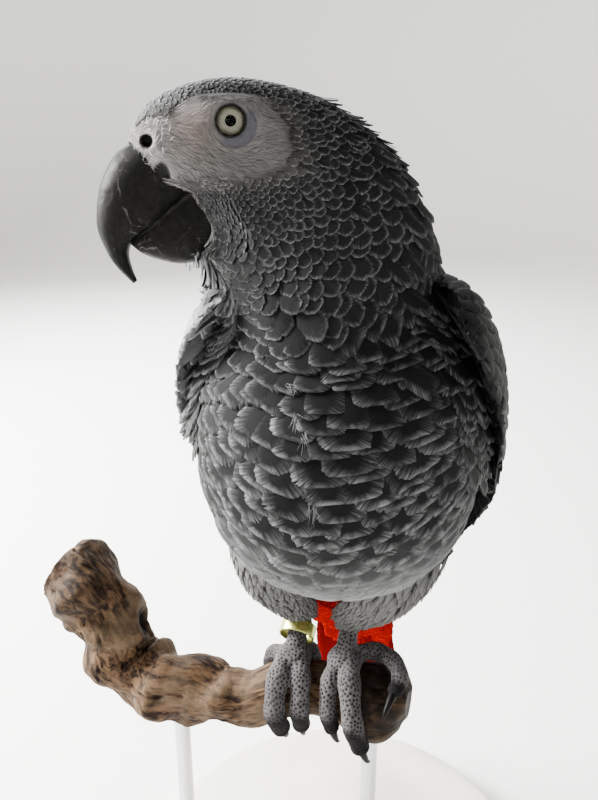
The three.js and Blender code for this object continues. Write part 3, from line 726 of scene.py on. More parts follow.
def scatter(sheet, spacing, keep, crowd=40):
    """Roots packed like roof tiles: along the lie, each as soon as its earlier neighbours leave it room.

    spacing(a, points) gives the distance between neighbours in a row and between rows, and keep the share
    of each place that is feathered, as a grid of the sheet's own size.
    """
    rows, columns = sheet.points.shape[:2]
    wide, deep = spacing(np.repeat(np.linspace(0, 1, rows)[:, None], columns, 1), sheet.points)
    patch = np.linalg.norm(np.cross(sheet.along, sheet.across), axis=-1) / (rows * columns)
    crowding = np.cumsum((patch * keep / (wide * deep)).ravel())
    tries = int(crowding[-1] * crowd)
    cell = np.searchsorted(crowding, rng.random(tries) * crowding[-1])
    a = (cell // columns + rng.random(tries) - 0.5) / (rows - 1)
    b = (cell % columns + rng.random(tries) - 0.5) / (columns if sheet.closed else columns - 1)
    a = np.clip(a, 0, 1)
    order = np.argsort(a)
    a, b = a[order], b[order]
    points = sheet.read(sheet.points, a, b)
    wide, deep = spacing(a, points)
    along = sheet.read(sheet.along, a, b)
    pace = np.linalg.norm(along, axis=-1)
    along = along / pace[:, None]
    reach = 1.155 * deep
    stop = np.searchsorted(a, a + 1.4 * np.maximum(reach, wide) / pace)
    free = np.ones(tries, bool)
    chosen = []
    for i in range(tries):
        if not free[i]:
            continue
        chosen.append(i)
        window = slice(i, stop[i])
        offset = points[window] - points[i]
        ahead = offset @ along[i]
        beside = dot(offset, offset) - ahead**2
        free[window] &= (ahead / reach[i]) ** 2 + beside / wide[i] ** 2 > 1
    chosen = np.array(chosen, int)
    return a[chosen], b[chosen]


def rooted(sheet, a, b, length, half, turn=0.0, way=None):
    """The start of a record for feathers that follow the sheet, turned a little to their left.

    Where a way in space is given, they follow that instead.
    """
    n = len(a)
    length, half = np.broadcast_to(length, n), np.broadcast_to(half, n)

    def aim(a, b):
        normal = unit(sheet.read(sheet.normal, a, b))
        if way is None:
            ahead = unit(sheet.read(sheet.along, a, b))
        else:
            ahead = unit(way - dot(way, normal)[:, None] * normal)
        beside = unit(np.cross(normal, ahead))
        c, s = np.cos(turn), np.sin(turn)
        c, s = (np.broadcast_to(v, n)[:, None] for v in (c, s))
        return ahead * c + beside * s, beside * c - ahead * s

    ahead, beside = aim(a, b)
    middle = sheet.steps(a, b, ahead * length[:, None] * 0.5)
    am, bm = a + middle[:, 0], b + middle[:, 1]
    ahead, beside = aim(am, bm)
    along = sheet.steps(am, bm, ahead * length[:, None])
    across = sheet.steps(am, bm, beside * half[:, None])
    return {"a": a, "b": b, "along": along, "across": across, "length": length, "half": half}


# ---- the plumage's colours ---------------------------------------------------------------------------
RED = np.array([0.15, 0.0012, 0.0003])
COOL = np.array([0.96, 0.985, 1.0])
FACE = np.array([0.10, 0.097, 0.094])
FACE_PINK = np.array([0.089, 0.072, 0.067])
LID = np.array([0.052, 0.051, 0.058])
IRIS = np.array([0.155, 0.15, 0.118])
THIGH = np.array([0.085, 0.085, 0.083])
SCUTE = np.array([0.074, 0.068, 0.070])
SCUTE_DARK = np.array([0.004, 0.0037, 0.004])
CLAW_BLACK = np.array([0.0035, 0.0032, 0.003])
LID_BLACK = np.array([0.014, 0.013, 0.012])
SLATE = 0.016

# the nostril and the bare patch behind the bill, a painted shade in the corner of the gape, as forward and up
# from the eye, and their half widths
NOSTRIL = {"at": (23.2, -5.3), "radius": 1.9}
GAPE_SHADE = {"at": (19.3, -14.3), "half": (2.4, 3.3)}
# how far the small round scales of the feet stand apart, and how many triangles the skin is thinned to
SCALE_PITCH = 1.2
SKIN_TRIANGLES = 190_000
# the shares of the body's outline that are face and head
FACE_END = 0.24
HEAD_END = 0.3
# the height below which the coverts under the tail are red, and the width of the tail's own sheet
UNDER_TAIL = 38.5
TAIL_SHEET = 60
# the rows of the breast, by the height at which they cross the keel
ROWS = {"top": 131.0, "low": 80.0}
# how far the breast's sheet goes on above and below them
SWAG_MORE = (4, 18)
# hollows in the wood: place along the branch, degrees round from its top to the front, size, depth
PITS = [
    (0.13, 70, 4.2, 2.6),
    (0.03, 20, 4.5, 2.8),
    (0.60, 120, 5.0, 2.4),
    (0.80, 10, 6.5, 3.2),
    (0.88, 80, 5.0, 2.2),
]


def face_field(p):
    """How far, in millimetres, a point of the head lies inside the pale face with its fine hair."""
    f, u, _ = from_head(p)
    low = 1.4 * (u + 0.30 * np.minimum(f, 0) + 15.6)
    high = 2.2 * (5.4 - u - 0.010 * f**2)
    back = f - 0.25 * u + 13.5
    field = np.minimum(np.minimum(low, high), back)
    return field + 1.2 * noise(p, 3.5, 61, 2)


def from_nostril(f, u):
    return np.hypot(f - NOSTRIL["at"][0], u - NOSTRIL["at"][1])


def from_gape_shade(f, u):
    """How far from the bare patch of painted shade in the corner of the gape a place is: 1 at its rim."""
    return np.hypot((f - GAPE_SHADE["at"][0]) / GAPE_SHADE["half"][0], (u - GAPE_SHADE["at"][1]) / GAPE_SHADE["half"][1])


def flushed(f, u):
    """The face's own colour at a place: pink in front of the eye."""
    return mix(FACE, FACE_PINK, np.exp(-(((f - 11) / 8) ** 2) - ((u + 2) / 7) ** 2))


def horn_gap(p):
    """How far in front of the skin's edge on the horn a point of the head is."""
    f, u, _ = from_head(p)
    edge_up, edge_forward = np.array(HORN_EDGE).T
    return f - np.interp(u, edge_up, edge_forward)


def taper(p, inset=0.0):
    """Points of the head's outline, drawn in to the horn of the bill where it comes out of the skin."""
    f, _, s = from_head(p)
    side = np.abs(s)
    gap = horn_gap(p)
    room = np.interp(f, *np.array(HORN_ROOM).T)
    room = room + np.interp(gap, [-14, -9, -4, -0.6, 0.9], [30, 9, 3.6, 1.3, -5.5]) - inset
    near = (side + room - np.sqrt((side - room) ** 2 + 0.4)) / 2
    near = np.where((gap > -14) & (f > -12), near, side)
    near = side + (near - side) * smoothstep(-12, -6, f) * smoothstep(-14, -12, gap)
    return p + HEAD_LEFT * ((near - side) * np.sign(s))[..., None]


def frontness(b):
    """1 along the keel and 0 along the back."""
    return 0.5 + 0.5 * np.cos(b * 2 * math.pi)


def around(front, back, b):
    """A quantity that goes from its value at the keel to its value at the back."""
    keel = frontness(b)
    return front * keel + back * (1 - keel)


def plumage(a, b, p):
    """The centre and edge colours of the body's feathers."""
    front = by_station(
        a, face=0.16, eyes=0.06, ears=0.045, occiput=0.028, neck_mid=0.02, breast_top=0.016, breast=0.019,
        keel=0.11, belly=0.36, flank=0.46, hip=0.48, vent=0.48,
    )
    back = by_station(
        a, face=0.25, eyes=0.05, crown=0.04, occiput=0.03, neck_mid=0.02, breast=0.022, belly=0.028,
        hip=0.06, vent=0.11, rump=0.2,
    )
    centre = around(front, back, b)
    pale_front = by_station(
        a, face=0.55, eyes=0.28, ears=0.15, nape=0.10, neck_low=0.09, breast_top=0.115, breast=0.15,
        keel=0.185, belly=0.255, flank=0.33, hip=0.35, vent=0.35,
    )
    pale_back = by_station(
        a, face=0.75, brow=0.6, eyes=0.33, crown=0.22, occiput=0.13, neck_mid=0.085, breast=0.08, rump=0.3,
    )
    edge = around(pale_front, pale_back, b)
    centre, edge = 0.36 * centre[..., None] * COOL, 0.56 * edge[..., None] * COOL
    f, u, _ = from_head(p)
    # painted shade: the feathers' pale edges are darkened at the throat, under the bill
    throat = smoothstep(-13, -19, u) * smoothstep(-9, -1, f) * smoothstep(0.36, 0.30, a)
    edge = edge * (1 - 0.42 * throat)[..., None]
    near_face = smoothstep(-7.0, 2.0, face_field(p)) * (a < HEAD_END)
    centre = mix(centre, FACE * 0.42, near_face)
    edge = mix(edge, FACE * 1.15, near_face)
    under = smoothstep(41, 38, p[..., 2]) * smoothstep(0.35, 0.6, frontness(b))
    above = smoothstep(0.93, 0.97, a)
    red = np.clip(under + above, 0, 1)
    return mix(centre, RED * 0.8, red), mix(edge, RED * 1.15, red)


def coat_depth(a, b):
    """How deep the coat is over the skin."""
    front = by_station(
        a, face=0.5, brow=0.7, eyes=0.9, ears=1.4, occiput=2.0, neck_mid=3.2, breast=4.5, flank=4.5,
        covert_tips=2.5,
    )
    back = by_station(
        a, face=0.5, brow=0.8, eyes=1.1, ears=1.5, occiput=2.2, neck_mid=3.4, breast=4.0, flank=4.0,
        covert_tips=2.5,
    )
    return around(front, back, b)


# ---- the coat ----------------------------------------------------------------------------------------
def face_distance(p):
    """How far a point is from the face, on its own side of the head."""
    f, u, s = from_head(p)
    return np.sqrt((f - 4) ** 2 + (u + 6) ** 2 + (np.abs(s) - 13) ** 2)


# how far apart feathers stand, by their distance from the face
FEATHER_WIDTHS = [
    (10, 1.05), (15, 1.4), (22, 2.4), (31, 3.7), (42, 5.6), (55, 8.0), (75, 10.8), (95, 12.4), (115, 13.0),
]


def body_spacing(a, p):
    """The distance between neighbouring feathers of a row, and between rows."""
    wide = np.interp(face_distance(p), *np.array(FEATHER_WIDTHS).T)
    wide = np.minimum(wide, by_station(a, keel=12.5, belly=10, flank=8.5, hip=7, covert_tips=7))
    f, u, _ = from_head(p)
    crown = smoothstep(-6, 8, u) * smoothstep(-35, -5, f)
    wide = wide * (1 + 0.2 * crown)
    flat = np.interp(wide, [1.1, 1.8, 3.0, 7, 10.5], [0.85, 0.62, 0.45, 0.34, 0.29])
    return wide, wide * flat * (1 + 0.4 * smoothstep(station("belly"), 1.0, a))


def swag(bearing):
    """How much higher than at the keel a row of feathers stands, this many radians round to the left."""
    right, left = np.clip(-bearing, 0, None), np.clip(bearing, 0, None)
    rise = 36 * smoothstep(0.0, 1.25, right) + 9 * smoothstep(0.0, 1.35, left)
    return rise - 23 * smoothstep(1.8, 3.1, right) + 4 * smoothstep(1.8, 3.1, left)


def swag_share(z):
    """How much of that is left in the row that crosses the keel at height z."""
    return 0.25 + 0.75 * smoothstep(ROWS["low"] - 4, ROWS["top"] - 3, z)


def trunk_middle(z):
    """The line up the middle of the trunk and neck."""
    heights = [73, 89, 105, 120, 130, 142, 152]
    x = np.interp(z, heights, [0, 0, 0, 0, -1.4, -5.2, -9.8])
    y = np.interp(z, heights, [8.5, 4.7, 2.6, 3.1, 4.7, 6.9, 7.1])
    return np.stack([x, y], -1)


def bearing_of(p):
    """How far round to the left of the keel's side of the trunk points are, in radians."""
    out = p[..., :2] - trunk_middle(p[..., 2])
    return np.arctan2(out[..., 0], -out[..., 1])


def breast_sheet(body):
    """The breast and upper belly again, with rows that hang between the shoulders like swags."""
    vertices, faces = closed_grid(body.points[::2, ::2])
    tree = bvhtree.BVHTree.FromPolygons(vertices.tolist(), faces.tolist())
    rows, columns = FINE["breast"]
    points = []
    for z in np.linspace(ROWS["top"] + SWAG_MORE[0], ROWS["low"] - SWAG_MORE[1], rows):
        for turn in (np.arange(columns) / columns + 0.5) % 1.0 - 0.5:
            bearing = turn * 2 * math.pi
            high = float(z + swag(bearing) * swag_share(z))
            x, y = trunk_middle(high)
            hit, *_ = tree.ray_cast((x, y, high), (math.sin(bearing), -math.cos(bearing), 0.0))
            points.append(hit[:] if hit else points[-1])
    return Sheet(np.array(points).reshape(rows, columns, 3))


def row_lean(p):
    """How far feathers turn to their left to stand square to their row."""
    bearing = bearing_of(p)
    slope = (swag(bearing + 0.05) - swag(bearing - 0.05)) / 0.1 / 38
    return 0.7 * np.arctan(slope * swag_share(p[:, 2] - swag(bearing) * 0.7))


def tree_of(points):
    """The points, ready to be searched for the nearest."""
    tree = kdtree.KDTree(len(points))
    for index, point in enumerate(points):
        tree.insert(point, index)
    tree.balance()
    return tree


def homes(body, p):
    """Where on the body's outline points of it are, as a and b."""
    rows, columns = body.points.shape[:2]
    step = 3
    coarse = body.points[::step, ::step]
    tree = tree_of(coarse.reshape(-1, 3).tolist())
    found = np.array([tree.find(q)[1] for q in p.tolist()])
    return (found // coarse.shape[1]) * step / (rows - 1), (found % coarse.shape[1]) * step / columns


def tiled(sheet, spacing, low, high):
    """Roots in staggered rows across a closed sheet, from low to high along it, a little uneven."""
    fine = np.arange(720) / 720
    a, parity, roots = low, 0, []
    while a < high:
        at = a + 0 * fine
        p = sheet.read(sheet.points, at, fine)
        wide, deep = spacing(at, p)
        step = np.linalg.norm(np.roll(p, -1, 0) - p, axis=-1)
        places = np.concatenate([[0], np.cumsum(step / wide)])
        n = int(round(places[-1]))
        marks = (np.arange(n) + 0.5 * parity + 0.25 + rng.normal(0, 0.08, n)) / n * places[-1]
        b = np.interp(np.mod(marks, places[-1]), places, np.append(fine, 1.0))
        pace = np.linalg.norm(sheet.read(sheet.along, at, fine), axis=-1)
        pitch = np.median(deep / pace)
        uneven = noise(np.stack([b * 14, 0 * b + a * 40, 0 * b], -1), 1.0, 71) * 0.16
        roots.append(np.stack([a + pitch * (uneven + rng.normal(0, 0.045, n)), b], -1))
        a += pitch
        parity = 1 - parity
    roots = np.concatenate(roots)
    return roots[:, 0], roots[:, 1]


def stretched(coarse, step, sheet):
    """A grid read at every so many points of a sheet, as a grid of the sheet's own size."""
    rows, columns = sheet.points.shape[:2]
    return np.repeat(np.repeat(coarse, step, 0), step, 1)[:rows, :columns]


def covered(sheet, others, reach, inner):
    """Where a sheet lies close under the inner part of others, as a grid of 0 and 1."""
    a, b = np.meshgrid(np.linspace(*inner[0], 50), np.linspace(*inner[1], 24))
    marks = np.vstack([other.place(a, b).reshape(-1, 3) for other in others])
    step = 6
    coarse = sheet.points[::step, ::step]
    nearest = np.array([np.min(((marks - p) ** 2).sum(1)) for p in coarse.reshape(-1, 3)])
    hidden = (nearest < reach**2).astype(float)
    return stretched(hidden.reshape(coarse.shape[:2]), step, sheet)


def inside(sheet, other, margin):
    """Where a sheet's points lie inside another closed sheet by more than a margin, as a grid."""
    marks = other.points[::4, ::6].reshape(-1, 3)
    normals = other.normal[::4, ::6].reshape(-1, 3)
    step = 3
    coarse = sheet.points[::step, ::step]
    result = np.empty(coarse.shape[:2])
    for index in np.ndindex(result.shape):
        offset = coarse[index] - marks
        nearest = np.argmin((offset**2).sum(1))
        result[index] = (offset[nearest] * normals[nearest]).sum() < -margin
    return stretched(result, step, sheet)


def dressed(sheet, a, b, home, lean, cut_lift, length_share, width_share, colours):
    """The full record of contour feathers at these roots, which are at home on the body's outline."""
    p = sheet.read(sheet.points, a, b)
    level, round_body = home
    wide, _ = body_spacing(level, p)
    n = len(a)
    size = rng.normal(1, 0.06, n)
    left = np.mod(round_body + 0.5, 1.0) - 0.5
    beside_keel = smoothstep(0.0, 0.03, np.abs(left)) * smoothstep(0.26, 0.12, np.abs(left))
    parting = 0.18 * np.sign(left) * beside_keel
    parting = parting * smoothstep(station("neck_low"), station("breast"), level)
    turn = rng.normal(0, 0.05, n) + parting + lean
    roots = rooted(sheet, a, b, wide * length_share * size, wide * width_share * size, turn)
    near_face = smoothstep(-6, 0, face_field(p)) * (level < HEAD_END)
    depth = coat_depth(level, round_body) * (1 - 0.6 * near_face)
    roots["deep"] = -depth * 0.75
    roots["lift"] = cut_lift * depth + rng.normal(0, 0.05, n) * depth
    roots["camber"] = np.where(level > 0.5, 0.08, 0.14) * roots["half"]
    roots["thick"] = np.clip(0.05 * roots["half"], 0.08, 0.3)
    roots["home"] = np.stack(home, -1)
    centre, edge = colours
    shade = 1 + 0.09 * rng.standard_normal((n, 1))
    roots["centre"], roots["edge"] = centre * shade, edge * (0.5 + 0.5 * shade)
    return roots


def under_tail(p):
    """Whether points of the body are among the red coverts under the tail."""
    return p[..., 2] < UNDER_TAIL


# the pieces of the body's coat: name, look, which sheet, and the stretch of the sheet that each covers
COATS = [
    ("coat_head", "feathers", "outline", 0.0, 0.26),
    ("coat_neck", "feathers", "outline", 0.26, 0.55),
    ("coat_breast", "feathers", "swags", 0.0, 0.42),
    ("coat_breast_low", "feathers", "swags", 0.42, 1.0),
    ("coat_belly", "down", "outline", 0.55, 0.74),
    ("coat_vent", "down", "outline", 0.74, 1.01),
    ("coat_rump", "tail", "outline", 0.74, 1.01),
]
# contour feathers by how far apart they stand: least, most, vane, cut, length and half width as shares of
# that distance, and lift as a share of the coat's depth
SIZES = [
    (0, 1.25, Vane(5, [0.7, 1.0]), TUFT, 2.4, 0.62, 0.05),
    (1.25, 4.0, Vane(8, [0.5, 0.84, 1.0]), SCALE, 1.5, 0.66, 0.03),
    (4.0, 8.2, Vane(15, [0.4, 0.7, 0.88, 1.0]), SCALE, 1.4, 0.72, 0.03),
    (8.2, 99, Vane(34, [0.42, 0.76, 1.0]), FRINGED, 1.3, 0.80, 0.04),
]
LOOSE = Vane(12, [0.5, 1.0])
LONG = Vane(40, [0.3, 0.7, 1.0], both=True)
BELLY_START = 0.55
BELLY_END = 0.74


def feathered(body, wings):
    """The share of each place of the body's outline that contour feathers grow on, as a grid."""
    below_head = np.linspace(0, 1, len(body.points))[:, None] > HEAD_END
    field = face_field(body.points)
    f, u, _ = from_head(body.points)
    keep = 1 - covered(body, wings, 6.5, ((0.10, 0.95), (0.28, 0.86)))
    keep *= (horn_gap(body.points) < -0.4) | below_head
    keep *= 1 - smoothstep(1.2, 2.6, field) * ~below_head
    keep *= (from_nostril(f, u) > NOSTRIL["radius"] + 1.4) | below_head
    return keep


def outline_roots(body, keep):
    """Roots on the body's outline: all of the head and neck, and what lies below the swags."""
    level = np.linspace(0, 1, len(body.points))[:, None]
    above = (body.points[..., 2] - swag(bearing_of(body.points)) > ROWS["top"]) | (level < 0.33)
    a, b = scatter(body, body_spacing, keep * above * (level < 0.62))
    stay = rng.random(len(a)) > smoothstep(-3.0, 2.2, face_field(body.read(body.points, a, b)))
    a, b = a[stay], b[stay]
    a_low, b_low = tiled(body, body_spacing, BELLY_START, 0.995)
    p = body.read(body.points, a_low, b_low)
    below = p[:, 2] - swag(bearing_of(p)) * swag_share(ROWS["low"]) < ROWS["low"]
    below &= body.read(keep[..., None], a_low, b_low)[:, 0] > 0.5
    a, b = np.append(a, a_low[below]), np.append(b, b_low[below])
    return {"sheet": body, "a": a, "b": b, "home": (a, b), "lean": 0 * a}


def swag_roots(body, breast, keep):
    """Roots in the swagged rows of the breast and upper belly."""
    rows = ROWS["top"] - ROWS["low"]
    span = rows + sum(SWAG_MORE)
    first, last = SWAG_MORE[0] / span, (SWAG_MORE[0] + rows) / span
    a, b = tiled(breast, lambda a, p: body_spacing(0.47 + 0.2 * a, p), first, last)
    p = breast.read(breast.points, a, b)
    home = homes(body, p)
    on = body.read(keep[..., None], *home)[:, 0] > 0.5
    home = home[0][on], home[1][on]
    return {"sheet": breast, "a": a[on], "b": b[on], "home": home, "lean": row_lean(p[on])}


def coat_of_body(body, breast, wings, materials):
    """The contour feathers from the forehead to the vent, as one coat in several pieces."""
    keep = feathered(body, wings)
    sources = {"outline": outline_roots(body, keep), "swags": swag_roots(body, breast, keep)}
    for name, look, which, low, high in COATS:
        batch = Batch()
        source = sources[which]
        sheet = source["sheet"]
        p = sheet.read(sheet.points, source["a"], source["b"])
        wide, _ = body_spacing(source["home"][0], p)
        here = (source["a"] >= low) & (source["a"] < high) & (under_tail(p) == (look == "tail"))
        for least, most, vane, cut, share, half, lift in SIZES:
            chosen = here & (wide >= least) & (wide < most)
            if not chosen.any():
                continue
            if which == "outline" and low >= BELLY_END:
                vane, cut = LOOSE, FUZZ
            elif which == "outline" and low >= BELLY_START:
                cut = SOFT
            home = tuple(v[chosen] for v in source["home"])
            colours = plumage(*home, p[chosen])
            a, b, lean = (source[key][chosen] for key in ("a", "b", "lean"))
            roots = dressed(sheet, a, b, home, lean, lift, share, half, colours)
            lay(batch, sheet, vane, cut, roots)
        finish(batch.mesh(name, materials[look], maps=True), "plumage")


def hair_roots(sheet, a, b, length, half, lift, bend, colours, turn=0.0, way=None, deep=0.0):
    """The record that hairs() reads, for hairs that follow the sheet or point a given way in space."""
    n = len(a)
    roots = rooted(sheet, a, b, length, half, turn, way)
    lift, bend, deep = (np.broadcast_to(v, n) for v in (lift, bend, deep))
    roots.update(lift=lift, bend=bend, deep=deep, centre=colours)
    return roots


def hair_of_face(face, material):
    """Fine pale hair over the face, which streams back round the eye, and bristles at the brow and bill."""
    field = face_field(face.points)
    gap = horn_gap(face.points)
    f, u, _ = from_head(face.points)
    on_face = (field > np.where(u > 0, -2.5, -5.0)) | (gap > np.where(u > -14, -5.0, -1.6))
    open_skin = (np.hypot(f + 1.0, u + 1.0) > 5.6) & (np.hypot(f, u) > 4.7) & (gap < 0.3)
    open_skin &= (from_nostril(f, u) > NOSTRIL["radius"] + 0.35) & (from_gape_shade(f, u) > 1.12)
    keep = (on_face & open_skin).astype(float)
    a, b = scatter(face, lambda a, p: (np.full(a.shape, 0.60), np.full(a.shape, 0.75)), keep)
    p = face.read(face.points, a, b)
    f, u, _ = from_head(p)
    n = len(a)
    batch = Batch()

    # the hair streams like water round a post: this is the square of the post's radius
    post = 34.0
    rho2 = np.maximum(f**2 + u**2, 30.0)
    along = -1 + post * (f**2 - u**2) / rho2**2
    across = post * 2 * f * u / rho2**2 - 0.15 - 0.4 * smoothstep(-6, -14, u)
    wander = rng.normal(0, 0.22, n)
    ahead = along * np.cos(wander) - across * np.sin(wander)
    aside = along * np.sin(wander) + across * np.cos(wander)
    front = smoothstep(12, 24, f)
    length = rng.uniform(1.6, 2.8, n) * (1 - 0.3 * front) * (0.55 + 0.45 * smoothstep(5, 8, np.sqrt(rho2)))
    tone = mix(flushed(f, u) * 1.15, [0.50, 0.49, 0.475], 0.85 * smoothstep(12, 22, f + 0.7 * u))
    tone = tone * rng.choice([0.18, 0.6, 1.0, 1.75], n, p=[0.27, 0.28, 0.25, 0.2])[:, None]
    bend = rng.normal(0, 1.0, n)
    half, lift = rng.uniform(0.08, 0.14, n), rng.uniform(0.12, 0.42, n)
    hairs(batch, face, hair_roots(face, a, b, length, half, lift, bend, tone, way=head_way(ahead, aside)))

    # white bristles that stand up from the forehead
    brow = (f > 14) & (u > -9) & (rng.random(n) < 0.28 * smoothstep(14, 24, f))
    k = brow.sum()
    way = head_way(-rng.normal(0.6, 0.4, k), 1.0, rng.normal(0, 0.5, k))
    white = np.array([0.8, 0.79, 0.77]) * rng.uniform(0.6, 1.1, (k, 1))
    length, lift, bend = rng.uniform(1.6, 2.9, k), rng.uniform(0.4, 1.4, k), rng.normal(0, 2, k)
    hairs(batch, face, hair_roots(face, a[brow], b[brow], length, 0.085, lift, bend, white, way=way))

    # longer bristles that lie over the edge of the bill
    edge = (horn_gap(p) > -3.4) & (u < -5) & (u > -40) & (rng.random(n) < 0.75) & (from_gape_shade(f, u) > 1.25)
    k = edge.sum()
    turn = rng.normal(-0.5, 0.7, k)
    way = head_way(np.cos(turn), np.sin(turn))
    pale = np.array([0.5, 0.49, 0.47]) * rng.uniform(0.4, 1.3, (k, 1))
    pale = pale * np.where(u[edge] > -20, 1.0, 0.6)[:, None]
    length, lift, bend = rng.uniform(1.5, 3.8, k), rng.uniform(0.3, 1.0, k), rng.normal(0, 5, k)
    hairs(batch, face, hair_roots(face, a[edge], b[edge], length, 0.08, lift, bend, pale, way=way))
    finish(batch.mesh("coat_face", material, maps=True), "face")


def outer_sheet(points):
    """A closed sheet whose normal points away from its middle line."""
    sheet = Sheet(points)
    away = points - points.mean(1, keepdims=True)
    return Sheet(points, flip=dot(sheet.normal, away).mean() < 0)


def plain_roots(sheet, a, b, length, half, deep, lift, colours, turn=0.0, camber=0.1, thick=0.25):
    """The record that lay() reads, for feathers that need no more than their own sizes and colours."""
    n = len(a)
    roots = rooted(sheet, a, b, length, half, turn)
    deep, lift, thick = (np.broadcast_to(v, n) for v in (deep, lift, thick))
    camber = camber * roots["half"]
    roots.update(deep=deep, lift=lift, camber=camber, thick=thick, centre=colours[0], edge=colours[1])
    return roots


def coat_of_thighs(body, material):
    """Short pale down over both thighs, to just above the foot."""
    fluff = dict(FUZZ, split=0.1, fray=0.06)
    for label, which in FEET.items():
        sheet = outer_sheet(thigh_points(which, 0.0, *FINE["thigh"]))
        keep = 1.0 - inside(sheet, body, 2.2)
        a, b = scatter(sheet, lambda a, p: (2.7 - 1.3 * a, 3.2 - 1.6 * a), keep)
        n = len(a)
        colours = THIGH * rng.uniform(0.9, 1.05, (n, 1)), THIGH * rng.uniform(1.1, 1.3, (n, 1))
        wide = 2.7 - 1.3 * a
        lift, turn = rng.uniform(0.05, 0.5, n), rng.normal(0, 0.14, n)
        batch = Batch()
        roots = plain_roots(sheet, a, b, wide * 3.6, wide * 0.6, -1.0, lift, colours, turn, thick=0.08)
        lay(batch, sheet, Vane(9, [0.5, 1.0]), fluff, roots)
        finish(batch.mesh("coat_thigh_" + label, material, maps=True), "plumage")


def row(sheet, starts, ends, half, deep, lift, colours, tilt, thick):
    """The record for a row of long feathers, each from its own start to its own end in steps of a sheet."""
    starts, ends = np.stack(starts, -1), np.stack(ends, -1)
    n = len(starts)
    step = ends - starts
    a, b = (starts + step / 2).T
    across = sheet.read(sheet.across, a, b)
    length = np.linalg.norm(sheet.read(sheet.along, a, b) * step[:, :1] + across * step[:, 1:], axis=-1)
    wide = np.linalg.norm(across, axis=-1)
    half, deep, lift, thick, tilt = (np.broadcast_to(v, n) for v in (half, deep, lift, thick, tilt))
    centre, edge = (colour * np.ones((n, 1)) for colour in colours)
    across = np.stack([0 * wide, half / wide], -1)
    return {
        "a": starts[:, 0], "b": starts[:, 1], "along": step, "across": across, "length": length,
        "half": half, "deep": deep, "lift": lift, "camber": 0.06 * half, "thick": thick, "tilt": tilt,
        "centre": centre, "edge": edge,
    }


def wing_outside(side):
    """The outer face of the folded wing: b runs from its front edge to its back one."""
    points = grid_of(lambda a, b: wing_point(side, a, b), *FINE["wing"], closed=False)
    return Sheet(points, closed=False, flip=side < 0)


def wing_round(side):
    """The whole folded wing as a closed sheet: b runs from its front edge over the outer face and back."""

    def place(a, b):
        turn = b * 2 * math.pi
        return wing_point(side, a, 0.5 - 0.5 * np.cos(turn), 0.5 * np.sin(turn))

    return outer_sheet(grid_of(place, *FINE["wing_round"]))


# how light a wing's feathers are, as shares of slate: its coverts' centre and edge, then its long feathers'.
# The right wing's are higher: painted light on the side that faces the key lamp
WING_TONE_AND_PAINTED_LIGHT = {-1: (0.9, 1.6, 1.5, 3.2), 1: (0.55, 0.9, 0.9, 1.8)}


def flight_of_wing(label, side, sheet, material):
    """The primaries, which cross over the rump."""
    batch = Batch()
    order = np.linspace(0, 1, 9)
    starts = 0.46 + 0.05 * order, 0.30 - 0.22 * order
    ends = 1.0 - 0.20 * order, 0.55 - 0.30 * order
    black = 0.014 * COOL, 0.02 * COOL
    deep, lift = -3.2 - 0.25 * order, -1.2 - 0.30 * order
    lay(batch, sheet, LONG, SMOOTH, row(sheet, starts, ends, 6.5, deep, lift, black, 0.35 * side, 0.3))
    finish(batch.mesh("flight_" + label, material, maps=True), "flight", "primaries_" + label)


def coat_of_wing(label, side, sheet, material):
    """The folded wing: small coverts, a row of greater coverts and the secondaries over the primaries."""
    slate = SLATE * COOL
    batch = Batch()
    order = np.linspace(0, 1, 11)
    centre, edge, long_centre, long_edge = WING_TONE_AND_PAINTED_LIGHT[side]
    colours = slate * long_centre, slate * long_edge
    starts = 0.34 + 0 * order, 0.12 + 0.80 * order
    ends = 0.70 + 0.16 * order, 0.16 + 0.74 * order
    secondaries = row(sheet, starts, ends, 7.6, -2.0, -0.6 + 0.5 * order, colours, -0.30 * side, 0.3)
    lay(batch, sheet, LONG, SMOOTH, secondaries)
    starts = 0.24 + 0 * order, 0.05 + 0.90 * order
    ends = 0.44 + 0.04 * np.sin(order * 3), 0.06 + 0.88 * order
    greater = row(sheet, starts, ends, 6.4, -1.8, 0.5, colours, -0.22 * side, 0.25)
    lay(batch, sheet, Vane(22, [0.4, 0.8, 1.0]), SMOOTH, greater)

    # the coverts: tiny at the wrist, larger down the wing, and on the right wing painted light on those near
    # its front edge that face forwards, to lift their shade
    whole = wing_round(side)
    rows, columns = whole.points.shape[:2]
    level, turn = np.linspace(0, 1, rows)[:, None], np.arange(columns)[None] / columns
    keep = ((level < 0.27) & (turn < 0.5)) | ((level < 0.72) & ((turn > 0.62) | (turn < 0.15)))
    keep = keep * (level > 0.01)
    a, b = scatter(whole, lambda a, p: (3.8 + 10 * a, 2.2 + 6 * a), keep)
    n = len(a)
    wide = 3.8 + 10 * a
    shade = rng.uniform(0.85, 1.15, (n, 1))
    pale = 0.0
    # painted light: the right wing's forward-facing coverts near its front edge are made paler, standing in
    # for light in the shade by the breast
    if side < 0:
        front = smoothstep(-0.45, 0.5, -unit(whole.read(whole.normal, a, b))[:, 1:2])
        pale = front * smoothstep(0.34, 0.2, np.minimum(b, 1 - b))[:, None]
    colours = slate * (centre + 10.0 * pale) * shade, slate * (edge + 24.0 * pale) * shade
    turn = rng.normal(0, 0.08, n)
    roots = plain_roots(whole, a, b, wide * 1.8, wide * 0.7, -1.0, 0.75, colours, turn, thick=0.16)
    lay(batch, whole, Vane(11, [0.5, 0.82, 1.0]), SCALE, roots)
    finish(batch.mesh("coat_wing_" + label, material, maps=True), "plumage", "wing_" + label)


